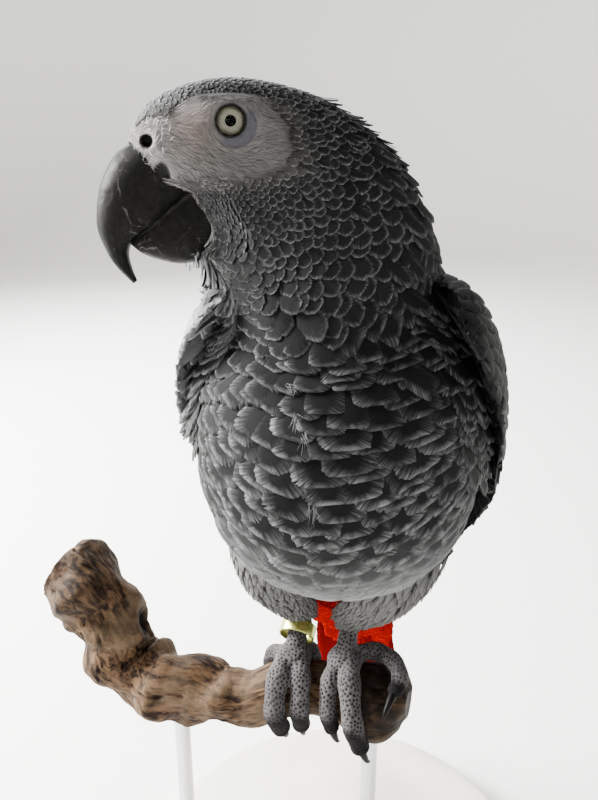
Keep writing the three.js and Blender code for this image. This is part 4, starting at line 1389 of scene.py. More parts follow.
def tail_sheet(drop=0.0, under=False):
    """The plane of the tail, arched across; under is its lower face, drop millimetres below."""
    root, tip = np.array(TAIL["root"], float), np.array(TAIL["tip"], float)
    left = np.array([1.0, 0, 0])
    upwards = unit(np.cross(left, tip - root))

    def place(a, b):
        x = (b - 0.5) * TAIL_SHEET
        sag = 4 * (x / 30) ** 2 + drop
        return root + (tip - root) * a[..., None] + left * x[..., None] - upwards * sag[..., None]

    points = grid_of(place, *FINE["tail"], closed=False)
    sheet = Sheet(points, closed=False)
    wrong = (dot(sheet.normal, upwards).mean() < 0) != under
    return Sheet(points, closed=False, flip=wrong)


def tail(material):
    """Twelve blunt scarlet feathers, fanned a little, with soft red coverts over and under their roots."""
    batch = Batch()
    sheet = tail_sheet()
    length = math.dist(TAIL["root"], TAIL["tip"])
    splay = 7 + length * math.sin(math.radians(TAIL["fan"]))
    order = np.linspace(-1, 1, TAIL["feathers"])
    order = order[np.argsort(-np.abs(order))]
    starts = 0.02 + 0 * order, 0.5 + 7 * order / TAIL_SHEET
    ends = 1.0 - 0.05 * np.abs(order), 0.5 + splay * order / TAIL_SHEET
    high = 1.2 - 2.4 * np.abs(order)
    roots = row(sheet, starts, ends, TAIL["width"] / 2, high, high, (RED * 0.6, RED * 1.35), 0.0, 0.35)
    lay(batch, sheet, Vane(46, [0.3, 0.7, 1.0], both=True), dict(SMOOTH, blunt=0.42), roots)
    coverts = 46
    for under, drop, most in ((True, 2.6, 0.36), (False, -2.4, 0.30)):
        face = tail_sheet(drop, under)
        down, beside = rng.random((coverts, 2)).T
        starts = 0.14 * down, 0.5 + (beside - 0.5) * 0.36
        ends = starts[0] + rng.uniform(0.18, most, coverts), 0.5 + (starts[1] - 0.5) * 1.3
        roots = row(face, starts, ends, 5.5, -1.5, 0.5, (RED * 0.9, RED * 1.3), 0.0, 0.25)
        lay(batch, face, Vane(20, [0.4, 0.8, 1.0]), FRINGED, roots)
    finish(batch.mesh("tail_feathers", material, maps=True), "tail", "tail")


def loose_plumes(body, breast, material):
    """What stands out of the coat: shaggy throat tips, fluff, ruffled breast feathers and a raised nape."""
    batch = Batch()
    # shaggy tips at the throat
    n = 70
    a, b = rng.uniform(0.06, 0.17, n), rng.normal(0.01, 0.026, n)
    shade = rng.uniform(0.5, 1.2, (n, 1))
    colours = 0.05 * COOL * shade, 0.15 * COOL * shade
    length, half = rng.uniform(4, 6.5, n), rng.uniform(0.6, 1.0, n)
    lift, turn = rng.uniform(0.2, 0.9, n), rng.normal(0, 0.2, n)
    roots = plain_roots(body, a, b, length, half, -0.5, lift, colours, turn, thick=0.1)
    lay(batch, body, Vane(9, [0.6, 1.0]), PLUME, roots)

    # tufts of loose hair down the keel: where, how far to the left and how many
    for at, off, k in ((0.505, 0.004, 9), (0.54, -0.006, 12), (0.552, -0.002, 8), (0.612, 0.006, 10)):
        a, b = at + rng.normal(0, 0.003, k), off + rng.normal(0, 0.0022, k)
        turn, length = rng.normal(0, 0.28, k), rng.uniform(2.0, 5.0, k)
        lift, bend = rng.uniform(0.4, 1.5, k), rng.normal(0, 3, k)
        pale = 0.17 * COOL * rng.uniform(0.4, 1.2, (k, 1))
        hairs(batch, body, hair_roots(body, a, b, length, 0.16, lift, bend, pale, turn, deep=0.25))

    # ruffled feathers before each wing: side, how many, how high, and how much painted light lifts their
    # centre and edge, most on the right, where the gap between wing and breast lies in shade
    for side, n, high, centre_painted_light, edge_painted_light in ((-1, 150, 1.0, 3.4, 1.9), (1, 60, 0.4, 1.2, 1.0)):
        a, share = rng.uniform(0.02, 0.66, n), rng.random(n)
        b = side * (0.165 + 0.07 * share)
        p = breast.read(breast.points, a, b)
        home = homes(body, p)
        centre, edge = plumage(*home, p)
        colours = centre * centre_painted_light, edge * edge_painted_light
        lift = (1.5 + 6.5 * share) * high * rng.uniform(0.7, 1.2, n)
        turn = side * rng.normal(0.22, 0.12, n)
        length, half = rng.uniform(12, 16, n), rng.uniform(4.0, 5.4, n)
        roots = plain_roots(breast, a, b, length, half, -0.5, lift, colours, turn, thick=0.14)
        roots["home"] = np.stack(home, -1)
        lay(batch, breast, Vane(24, [0.5, 1.0], both=True), FRINGED, roots)

    # raised tips at the nape
    n = 170
    a, b = rng.uniform(0.22, 0.50, n), rng.normal(0.5, 0.10, n)
    p = body.read(body.points, a, b)
    wide, _ = body_spacing(a, p)
    lift, turn = rng.uniform(0.6, 2.4, n), rng.normal(0, 0.15, n)
    roots = plain_roots(body, a, b, wide * 1.5, wide * 0.4, -0.5, lift, plumage(a, b, p), turn, thick=0.12)
    lay(batch, body, Vane(13, [0.5, 1.0]), FRINGED, roots)
    finish(batch.mesh("coat_plumes", material, maps=True), "plumage")


# ---- the skin ----------------------------------------------------------------------------------------
def sculpt(p, inset=0.0):
    """Adds the lids, the folds round the eye and the nostril to points of the head."""
    p = taper(p, inset)
    f, u, s = from_head(p)
    side = np.abs(s)
    rho = np.hypot(f, u)
    lid = np.hypot(f + 0.8, u + 0.8)
    ball, middle = HEAD["radius"], HEAD["side"]
    rim = middle + math.sqrt(ball**2 - 4.1**2) + 0.15
    swell = np.exp(-((np.clip(rho - 4.0, 0, None) / 7.0) ** 2)) * (rho < 22) * smoothstep(8.5, 4.5, u)
    near = side + (rim - side) * swell
    shell = middle + np.sqrt(np.clip((ball + 0.2) ** 2 - np.minimum(rho, 5.0) ** 2, 0.5, None))
    near = near + (shell - near) * smoothstep(5.0, 4.1, rho)
    near -= 0.12 * bump_at(lid, 5.9, 0.3) - 0.06 * bump_at(lid, 6.5, 0.45)
    near -= 0.06 * bump_at(lid, 5.2, 0.2) + 0.06 * bump_at(lid, 7.6, 0.35)
    near = near + (middle - 1.0 - near) * smoothstep(4.3, 3.7, rho)
    hole, radius = from_nostril(f, u), NOSTRIL["radius"]
    near += 0.2 * bump_at(hole, radius + 0.9, 0.9)
    near -= 2.8 * smoothstep(radius + 0.3, radius - 0.6, hole)
    near -= 0.5 * smoothstep(1.2, 0.7, from_gape_shade(f, u))
    moved = np.where((side > 3) & (f > -16), near - side, 0.0) * np.sign(s)
    return p + HEAD_LEFT * moved[..., None]


def skin_tone(a, b, p):
    """The same markings as the coat's, and the bare face's own."""
    centre, _ = plumage(a, b, p)
    f, u, _ = from_head(p)
    rho = np.hypot(f, u)
    lid = np.hypot(f + 1.0, u + 1.0)
    hole, radius = from_nostril(f, u), NOSTRIL["radius"]
    lower = smoothstep(0.2, 0.7, -(f + u) / np.maximum(rho, 1.0))
    face = flushed(f, u)
    for colour, share in (
        ([0.12, 0.117, 0.114], 0.3 * smoothstep(10, 17, rho)),
        (LID, smoothstep(6.5, 5.7, lid) * (0.25 + 0.75 * lower)),
        ([0.012, 0.011, 0.01], smoothstep(4.45, 4.2, rho)),
        ([0.12, 0.115, 0.11], smoothstep(4.2, 2.4, hole)),
        # painted shade deep in the nostril's hollow
        ([0.008, 0.008, 0.007], smoothstep(radius + 0.3, radius - 0.4, hole)),
        ([0.10, 0.10, 0.095], smoothstep(-1.6, 0.2, horn_gap(p))),
        # painted shade in the corner of the gape behind the bill
        ([0.0025, 0.0025, 0.0024], smoothstep(1.25, 0.9, from_gape_shade(f, u))),
    ):
        face = mix(face, colour, share)
    head = (a < HEAD_END) & (f > -30)
    return mix(centre * 0.75, face, smoothstep(-6.0, 2.0, face_field(p)) * head)


def head_skin(a, b):
    """Points of the finished skin at places of the body's outline."""
    depth = coat_depth(a, b)
    return sculpt(on_body(a, b * 2 * math.pi, -depth), depth)


def body_skin():
    """The head, neck and trunk under the coat, with a rounded front that the bill comes out of."""
    rows, columns = FINE["body_skin"]
    on_head = 190
    t = np.concatenate([np.linspace(0, 0.2, on_head, endpoint=False), np.linspace(0.2, 1, rows - on_head)])
    turn = np.arange(columns) / columns
    a, b = np.meshgrid(t, turn, indexing="ij")
    points = on_body(a, b * 2 * math.pi, -coat_depth(a, b))
    first = points[0]
    middle = first.mean(0)
    below, left, above, right = first[:: columns // 4]
    ahead = unit(np.cross(left - right, above - below))
    dome = np.linspace(0.06, math.pi / 2, 14, endpoint=False)
    wide, deep = np.sin(dome)[:, None, None], np.cos(dome)[:, None, None]
    front = middle + (first - middle)[None] * wide + ahead * 3.0 * deep
    points = np.concatenate([front, points])
    a = np.concatenate([np.zeros((len(dome), columns)), a])
    b = np.concatenate([np.tile(turn, (len(dome), 1)), b])
    return sculpt(points, coat_depth(a, b)), skin_tone(a, b, points)


def thigh_line(which):
    top = np.array(which["thigh"], float)
    ankle = ankle_of(which) + np.array([0, -2.5, 1])
    return [top, (top + ankle) / 2 + np.array([math.copysign(4, top[0]), -4, 0]), ankle]


def thigh_points(which, more, rows=60, columns=72):
    return tube(thigh_line(which), lambda t: smooth([18, 16, 12.8, 9.6, 6.6], t) + more, rows, columns)


PERCH_LINE = [middle for middle, _ in PERCH]
PERCH_SIZE = [radius for _, radius in PERCH]
LEVEL = np.linspace(0, 0.7, 4000)
LEVEL_X = spline(PERCH_LINE, LEVEL)[:, 0]


def perch_at(x):
    """Where on the branch's length a place along x is."""
    return np.interp(x, LEVEL_X[::-1], LEVEL[::-1])


def over_perch(degrees, x, off):
    """A point over the branch: degrees round from its top towards the front, this far off the wood."""
    t = perch_at(x)
    _, y, z = spline(PERCH_LINE, t)
    reach = smooth(PERCH_SIZE, t) + off
    turn = math.radians(degrees)
    return np.array([x, y - reach * math.sin(turn), z + reach * math.cos(turn)])


def ankle_of(which):
    return np.array(ANKLE) + np.array([which["x"], 0, 0])


def sole_of(which):
    return over_perch(-2, which["x"], 4.6)


def shank_line(which):
    sole, ankle = sole_of(which), ankle_of(which)
    return [sole, (sole + ankle) / 2 + np.array([0, 0, 0.6]), ankle]


def toe_line(toe):
    radius, joints = toe
    return [over_perch(degrees, x, radius * 1.04 + GAP) for degrees, x in joints]


def rounded_end(t, share):
    """1 along a limb and falling to 0 over the last share of it, as a round end does."""
    return np.sqrt(np.clip(1 - np.clip((t - 1 + share) / share, 0, 1) ** 2, 0.003, 1))


def foot_parts(which):
    """The pad, shank and toes of one foot, as tubes of points."""
    parts = [tube(shank_line(which), lambda t: 4.6 - 1.2 * np.sin(t * math.pi), 40, 40)]
    sole = sole_of(which) + np.array([0, -1, -0.6])
    turn, tip = np.meshgrid(turns(40), np.linspace(0.05, math.pi - 0.05, 24))
    ball = np.stack([np.sin(tip) * np.cos(turn), np.sin(tip) * np.sin(turn), np.cos(tip)], -1)
    parts.append(sole + ball[::-1] * np.array([6.4, 7.2, 4.6]))
    for toe in which["toes"].values():
        radius, joints = toe
        knuckles = len(joints) - 1

        def size(t, radius=radius, knuckles=knuckles):
            swell = 1 + 0.06 * np.cos(t * knuckles * 2 * math.pi)
            return radius * (1.06 - 0.18 * t) * swell * rounded_end(t, 0.09)

        parts.append(tube(toe_line(toe), size, 90, 36, reference=ACROSS))
    return parts


def baked(made):
    """Applies an object's modifiers."""
    graph = bpy.context.evaluated_depsgraph_get()
    data = bpy.data.meshes.new_from_object(made.evaluated_get(graph))
    made.modifiers.clear()
    old, made.data = made.data, data
    bpy.data.meshes.remove(old)
    return made


def arrays_of(data):
    """A mesh's vertices in the bird's frame and their normals."""
    points = np.empty(len(data.vertices) * 3, np.float32)
    data.vertices.foreach_get("co", points)
    normals = np.empty(len(data.vertices) * 3, np.float32)
    data.vertex_normals.foreach_get("vector", normals)
    points = points.reshape(-1, 3).astype(float) / MM - UP * GRIP_HEIGHT
    return points, normals.reshape(-1, 3).astype(float)


def set_points(data, points):
    data.vertices.foreach_set("co", on_floor(points))
    data.update()


def spread(points, apart):
    """Some of the points, as many as fit at least this far apart."""
    chosen, cells = [], {}
    for p in points[rng.permutation(len(points))].tolist():
        key = tuple(int(v // apart) for v in p)
        near = (
            q
            for cell in itertools.product(*((k - 1, k, k + 1) for k in key))
            for q in cells.get(cell, ())
        )
        if all(math.dist(p, q) >= apart for q in near):
            cells.setdefault(key, []).append(p)
            chosen.append(p)
    return chosen


def bare_foot(which, material):
    """One foot as a single surface, covered in small round scales with dark skin between them."""
    batch = Batch()
    for part in foot_parts(which):
        batch.add(*closed_grid(part))
    foot = batch.mesh("foot_form", material)
    remesh = foot.modifiers.new("whole", "REMESH")
    remesh.mode, remesh.voxel_size = "VOXEL", 0.42 * MM
    soften = foot.modifiers.new("soften", "SMOOTH")
    soften.iterations, soften.factor = 5, 0.6
    baked(foot)
    points, normals = arrays_of(foot.data)
    scales = tree_of(spread(points, SCALE_PITCH))
    away = np.array([scales.find(p)[2] for p in points])
    size = 0.45 + 0.08 * noise(points, 3.0, 8)
    plump = smoothstep(size * 0.6, 0.75, away)
    points = points + normals * (0.24 * plump - 0.18)[:, None]
    set_points(foot.data, points)
    worn = 0.88 + 0.22 * noise(points, 4.0, 3, 2)
    dark = smoothstep(size * 1.1, size * 0.65, away)
    pale = mix(SCUTE, SCUTE_DARK, dark) * worn[:, None]
    ends = np.array([toe_line(toe)[-1] for toe in which["toes"].values()])
    to_end = np.linalg.norm(points[:, None] - ends[None], axis=-1).min(1)
    tip = smoothstep(8.0, 4.5, to_end + 1.5 * noise(points, 2.5, 9))
    # painted shade: the toes are darker towards the bottom, where they curl under the branch
    low = smoothstep(-7.0, -13.0, points[:, 2] + 2.0 * noise(points, 3.0, 10))
    for share in (tip, low):
        pale = mix(pale, SCUTE_DARK, 0.96 * share)
    carry(foot.data, np.clip(pale, 0, 1), np.column_stack([plump, 0 * plump, 0 * plump + 1]))
    return foot


def wing_bed(side):
    """The folded arm of a wing under its coverts."""
    rows, columns = FINE["wing_bed"]
    t, turn = np.meshgrid(np.linspace(0.03, 0.70, rows), turns(columns), indexing="ij")
    share = 0.5 - 0.43 * np.cos(turn)
    points = wing_point(side, t, share, 0.30 * np.sin(turn) - 0.05)
    return points if side > 0 else points[:, ::-1]


def skin(material):
    """Head, neck, trunk, wing arms, thighs and feet as one surface without a seam."""
    points, tone = body_skin()
    whole = shape("skin", points, material, capped(tone, (tone[0].mean(0), tone[-1].mean(0))))
    joined = []
    for side in (1, -1):
        # painted light: the right wing's arm is lighter because that side faces the key lamp
        tone = SLATE * (1 if side > 0 else 2.5) * COOL
        joined.append(shape("wing_form", wing_bed(side), material, tone))
    for which in FEET.values():
        joined.append(shape("thigh_form", thigh_points(which, -1.6), material, THIGH * 0.8))
        joined.append(bare_foot(which, material))
    for other in joined:
        union = whole.modifiers.new("join", "BOOLEAN")
        union.operation, union.solver, union.object = "UNION", "MANIFOLD", other
        baked(whole)
    for other in joined:
        bpy.data.objects.remove(other)
    whole.data.polygons.foreach_set("use_smooth", np.ones(len(whole.data.polygons), bool))
    thin = whole.modifiers.new("thin", "DECIMATE")
    thin.ratio = min(1.0, SKIN_TRIANGLES / sum(len(f.vertices) - 2 for f in whole.data.polygons))
    baked(whole)
    return finish(
        whole, "face", "head", "neck", "trunk", "thigh_left", "thigh_right", "foot_left", "foot_right"
    )


# ---- bill, eyes and claws ----------------------------------------------------------------------------
def bill_half(stations, rows, columns, flat_end):
    """Half of the bill: flat_end is 1 where it closes on its outer side and -1 where on its inner side."""
    t, turn = np.meshgrid(np.linspace(0, 1, rows), turns(columns), indexing="ij")
    outer = in_head(*spline([o for o, _, _ in stations], t).transpose(2, 0, 1))
    inner = in_head(*spline([c for _, c, _ in stations], t).transpose(2, 0, 1))
    half = smooth([w for *_, w in stations], t)
    c, s = np.cos(turn), np.sin(turn)
    flat = smoothstep(0, 0.6, c * flat_end)
    s = np.sign(s) * np.abs(s) ** (0.88 - 0.5 * flat)
    c = c * (1 - 0.10 * flat * (1 - np.abs(c)))
    points = (outer + inner) / 2 + (outer - inner) / 2 * c[..., None] + HEAD_LEFT * (s * half)[..., None]
    out = unit(points - (outer + inner) / 2)
    growth = np.stack([t * 10, turn * 1.6, 0 * t], -1)
    ridges = noise(growth, 1.0, 22, 3) * 0.16 + noise(points, 1.3, 21, 2) * 0.05
    flake = noise(points, 4.0, 24, 3)
    ridges = ridges - 0.07 * smoothstep(0.02, 0.09, np.abs(flake - 0.2)) * smoothstep(0.0, 0.3, flake)
    points = points + out * ridges[..., None]
    grain = np.stack([t * 42, turn * 8, 0 * t], -1)
    worn = smoothstep(-0.25, 0.35, noise(points, 2.2, 26, 3))
    rim = bump_at(c, 0.80 * flat_end, 0.05) * worn * smoothstep(0.1, 0.3, t) * (flat_end > 0)
    lines = noise(points * np.array([1, 1, 0.5]), 13.0, 27, 4)
    hairline = smoothstep(0.020, 0.004, np.abs(lines)) * smoothstep(0.05, 0.35, noise(points, 5.0, 28, 2))
    return points, grain, np.clip(0.35 * rim + hairline, 0, 1)


def bill(materials):
    for name, stations, node, flat_end in (
        ("bill_upper", UPPER_HORN, "upper_bill", -1),
        ("bill_lower", LOWER_HORN, "lower_bill", 1),
    ):
        points, grain, pale = bill_half(stations, *FINE["bill"], flat_end)
        pale = capped(pale[..., None] * np.ones(3), np.zeros((2, 3)))
        finish(shape(name, points, materials["bill"], pale, capped(grain)), "bill", node)


def turned(profile, columns, side):
    """A surface turned round the line through both eyes, from points [radius, distance out]."""
    r, out = np.array(profile, float).T[..., None]
    turn = side * turns(columns)
    return in_head(r * np.cos(turn), r * np.sin(turn), side * (out + 0 * turn))


def eye_tone(profile, iris_from, pit_from):
    """The colours of an eyeball whose rows are its back, then the iris, then the pupil's pit."""
    columns = EYE["columns"]
    turn = turns(columns) + np.zeros((len(profile), 1))
    r = np.array([radius for radius, _ in profile])[:, None] + np.zeros(columns)
    row_of = np.arange(len(profile))[:, None] + np.zeros(columns)
    pupil = EYE["pupil"]
    fibres = noise(np.stack([np.cos(turn) * 9, np.sin(turn) * 9, r * 0.8], -1), 1.0, 31, 2)
    tone = mix(IRIS, IRIS * np.array([0.80, 0.80, 0.66]), smoothstep(2.6, 3.9, r))
    tone = mix(tone, IRIS * 0.9, smoothstep(pupil + 0.5, pupil, r)) * (1 + 0.13 * fibres)[..., None]
    tone = mix(tone, [0.02, 0.018, 0.015], smoothstep(pupil + 0.12, pupil + 0.02, r) * (row_of > iris_from))
    tone = np.where((row_of < iris_from)[..., None], 0.3, tone)
    return np.clip(np.where((row_of >= pit_from)[..., None], 0.0008, tone), 0, 1)


def eye(label, side, materials):
    """The ball with its iris and pupil, the clear cornea over them and the dark margin of the lids."""
    ball, middle = HEAD["radius"], HEAD["side"]
    iris, pupil = EYE["iris"], EYE["pupil"]
    inner = ball * 0.97
    corners = np.linspace(math.pi - 0.05, 0.92, 40)
    back = [(inner * math.sin(v), middle + inner * math.cos(v)) for v in corners]
    disc = [(r, middle + 3.05 + 0.18 * (r / iris) ** 2) for r in np.linspace(iris, pupil, 34)]
    pit = [(pupil - 0.05, 3.0), (pupil - 0.1, 1.2), (0.9, 0.6), (0.05, 0.5)]
    pit = [(r, middle + out) for r, out in pit]
    profile = back + disc + pit
    tone = capped(eye_tone(profile, len(back), len(profile) - len(pit)))
    points = turned(profile, EYE["columns"], side)
    finish(shape("eye_ball_" + label, points, materials["iris"], tone), "eye", "eye_" + label)

    bulge = [(v, 0.28 * math.exp(-((v / 0.5) ** 2))) for v in np.linspace(0.01, 1.05, 40)]
    dome = [(ball * math.sin(v), middle + ball * math.cos(v) + more) for v, more in bulge]
    under = [(r * 0.985, out - 0.25) for r, out in reversed(dome)]
    finish(shape("cornea_" + label, turned(dome + under, 96, side), materials["cornea"]), "eye")

    margin, size = EYE["margin"], 0.20
    shell = middle + math.sqrt((ball + 0.12) ** 2 - margin**2)
    band = turns(16)
    turn = turns(EYE["columns"])[:, None]
    wave = 1 + 0.012 * np.sin(turn * 9) + 0.008 * np.sin(turn * 17)
    r = (margin + size * np.cos(band)) * wave
    ring = in_head(r * np.cos(turn), r * np.sin(turn), side * (shell + 0.30 * np.sin(band) + 0 * r))
    batch = Batch()
    batch.add(*hooped(ring), LID_BLACK)
    finish(batch.mesh("lid_margin_" + label, materials["horn"]), "face")


def claw_radius(t):
    return CLAW["radius"] * (1 - 0.9 * t**1.3)


def claws(materials):
    """Each claw carries its toe's curve on round the wood and thins to a point."""
    bends = ((-0.25, -0.05), (0.25, 0.0), (0.68, 0.2), (1.0, 0.6))
    for label, which in FEET.items():
        for name, toe in which["toes"].items():
            before, end = toe_line(toe)[-2:]
            ahead = unit(end - before)
            wood = spline(PERCH_LINE, perch_at(end[0]))
            inwards = unit((wood - end) * np.array([0, 1, 1]))
            length, hook = CLAW["length"], CLAW["hook"]
            line = [end + ahead * far * length + inwards * deep * hook for far, deep in bends]
            points = tube(line, claw_radius, *FINE["claw"], reference=ACROSS)
            node = f"claw_{label}_{name}"
            finish(shape(node + "_horn", points, materials["horn"], CLAW_BLACK), "claw", node)


# ---- ring, branch and stand --------------------------------------------------------------------------
def lathe(profile, columns):
    """A closed surface turned round Z from [radius, height] points that start and end on the axis."""
    profile = np.array(profile, float)
    turn = turns(columns)
    r = profile[:, 0][:, None]
    return np.stack([r * np.cos(turn), r * np.sin(turn), profile[:, 1][:, None] + 0 * turn], -1)[::-1]


def tipped(v, i, j, angle):
    """A vector turned from its axis i towards its axis j."""
    c, s = math.cos(angle), math.sin(angle)
    made = v.copy()
    made[i], made[j] = v[i] * c - v[j] * s, v[i] * s + v[j] * c
    return made


def leg_ring(materials):
    """A closed metal band with worn round edges, loose round the right shank."""
    which = FEET["right"]
    sole, ankle = sole_of(which), ankle_of(which)
    axis = tipped(unit(ankle - sole), 1, 2, -math.radians(RING["lean"]))
    axis = tipped(axis, 2, 0, math.radians(RING["tilt"]))
    first = unit(np.cross(axis, [0, 1.0, 0.3]))
    second = np.cross(axis, first)
    middle = sole + (ankle - sole) * RING["along"] + UP * 0.8
    corner = np.linspace(0, 2 * math.pi, 41)[:-1]
    boxy = [np.sign(v) * np.abs(v) ** 0.35 for v in (np.cos(corner), np.sin(corner))]
    r = RING["radius"] + RING["wall"] / 2 + boxy[0] * RING["wall"] / 2
    h = boxy[1] * RING["height"] / 2
    turn = turns(160)[:, None]
    dents = 1 + 0.004 * np.sin(turn * 5 + 1) + 0.003 * np.sin(turn * 11)
    out = np.cos(turn)[..., None] * first + np.sin(turn)[..., None] * second
    batch = Batch()
    band = middle + out * (r[None] * dents)[..., None] + axis * h[None, :, None]
    batch.add(*hooped(band), [0.4, 0.4, 0.1])
    finish(batch.mesh("closed_ring", materials["ring"]), "ring", "leg_ring")


def perch_surface(t, turn):
    """The branch: lumps outside the gripped stretch, knots, hollows and long cracks."""
    step = 0.006
    line = spline(PERCH_LINE, t)
    along = unit(spline(PERCH_LINE, t + step) - spline(PERCH_LINE, t - step))
    up = unit(np.cross(np.array([0, 1.0, 0]), along))
    front = np.cross(along, up)
    out = front * np.sin(turn)[..., None] + up * np.cos(turn)[..., None]
    x, z = line[..., 0], line[..., 2]
    free = 1 - np.exp(-(((x - GRIPPED["middle"]) / GRIPPED["half"]) ** 4))
    place = x - 0.9 * z
    lumps = 1.3 * np.sin(place * 0.2 + turn) + 0.9 * np.sin(place * 0.31 - 2 * turn + 1.3)
    r = smooth(PERCH_SIZE, t) + free * lumps
    rough = line + out * r[..., None]
    r = r + (0.3 + 1.1 * free) * noise(rough, 8.0, 41, 4)
    knots = pebbles(rough * np.array([0.7, 1, 1]), 13.0, 45)[0]
    r = r + 1.6 * free * smoothstep(0.55, 0.1, knots)
    grain = np.stack([place * 0.16, np.cos(turn) * 7, np.sin(turn) * 7], -1)
    cracks = smoothstep(0.42, 0.62, noise(grain, 1.1, 43, 2))
    r = r - (0.15 + 0.75 * free) * cracks
    dark = 0.75 * cracks
    for spot, angle, size, deep in PITS:
        beside = np.abs((turn - math.radians(angle) + math.pi) % (2 * math.pi) - math.pi)
        gap = beside * smooth(PERCH_SIZE, t)
        length = np.linalg.norm(line - spline(PERCH_LINE, np.array(spot)), axis=-1)
        away = np.sqrt(gap**2 + (length * 0.8) ** 2) + 0.8 * noise(rough, 3.0, 47)
        lip = 0.22 * deep * bump_at(away, size * 1.15, size * 0.3)
        r = r - deep * smoothstep(size, size * 0.35, away) + lip
        dark = np.maximum(dark, smoothstep(size * 1.05, size * 0.6, away))
    # darker ends: a stain past x = -91, and at the knob from x = 4 on a stain with painted shade under the
    # left foot's toes
    stain_and_shade = smoothstep(4, 14, x + 7 * noise(rough, 7.0, 48, 3))
    stain_and_shade = stain_and_shade + smoothstep(-91, -101, x + 5 * noise(rough, 6.0, 49, 3)) * 0.5
    dark = np.maximum(dark, np.clip(stain_and_shade, 0, 1) * np.clip(0.9 + 0.8 * noise(rough, 5.0, 50, 3), 0.25, 1))
    grain = np.stack([place * 0.12, grain[..., 1] * 0.5, grain[..., 2] * 0.5], -1)
    return line + out * r[..., None], grain, dark


def perch(materials):
    """The cut length of branch, its left end rounded off and its right one sawn flat with growth rings."""
    rows, columns = FINE["perch"]
    t, turn = np.meshgrid(np.linspace(0, 1, rows), turns(columns), indexing="ij")
    points, grain, dark = perch_surface(t, turn)
    start, end = points[0], points[-1]
    knob, middle = start.mean(0), end.mean(0)
    swell = np.linspace(0.05, 0.95, 8)[:, None, None]
    rings = np.linspace(1, 0.03, 26)[1:]
    cut = middle + (end - middle)[None] * rings[:, None, None]
    points = np.concatenate([knob + (start - knob)[None] * swell, points, cut])
    grow = rings[:, None] * 15 + 0 * turn[:1]
    cut_grain = np.stack([grow * 0.9, 0 * grow + 20, 0 * grow], -1)
    grain = np.concatenate([np.repeat(grain[:1], len(swell), 0), grain, cut_grain])
    dark = np.concatenate([np.repeat(dark[:1], len(swell), 0), dark, 0.25 + 0 * grow])
    tone = capped(dark[..., None] * np.ones(3))
    finish(shape("branch", points, materials["wood"], tone, capped(grain)), "wood", "perch")


def stand(materials):
    """A round painted base with a soft edge and two steel rods."""
    floor = -GRIP_HEIGHT
    r, top, soft = BASE["radius"], BASE["thickness"], BASE["bevel"]
    inner = r - soft
    corner = np.linspace(0, math.pi / 2, 9)
    profile = [(v * inner / 12 + 0.3, top) for v in range(12)]
    profile += [(inner + soft * math.sin(v), top - soft + soft * math.cos(v)) for v in corner]
    profile += [(inner + soft * math.cos(v), soft - soft * math.sin(v)) for v in corner] + [(0.3, 0.0)]
    disc = lathe(profile, 180) + np.array([0, BASE["shift"], floor])
    finish(shape("stand_board", disc, materials["paint"]), "base", "stand_base")
    rod, collar = ROD["radius"], floor + top
    bottom = collar - ROD["seat"]
    for i, x in enumerate(ROD["places"]):
        _, y, z = spline(PERCH_LINE, perch_at(x))
        high = z - smooth(PERCH_SIZE, perch_at(x)) + ROD["socket"]
        side = [(0.1, high), (rod - 0.4, high), (rod, high - 0.4)]
        side += [(rod, v) for v in np.linspace(high - 1, collar + 3.2, 20)]
        side += [(5.2, collar + 3.0), (5.8, collar + 2.4), (5.8, collar + 0.05), (rod, collar)]
        side += [(rod, bottom), (0.1, bottom)]
        post = lathe(side, 64) + np.array([x, y, 0])
        finish(shape(f"stand_post_{i + 1}", post, materials["steel"]), "rod", f"stand_rod_{i + 1}")


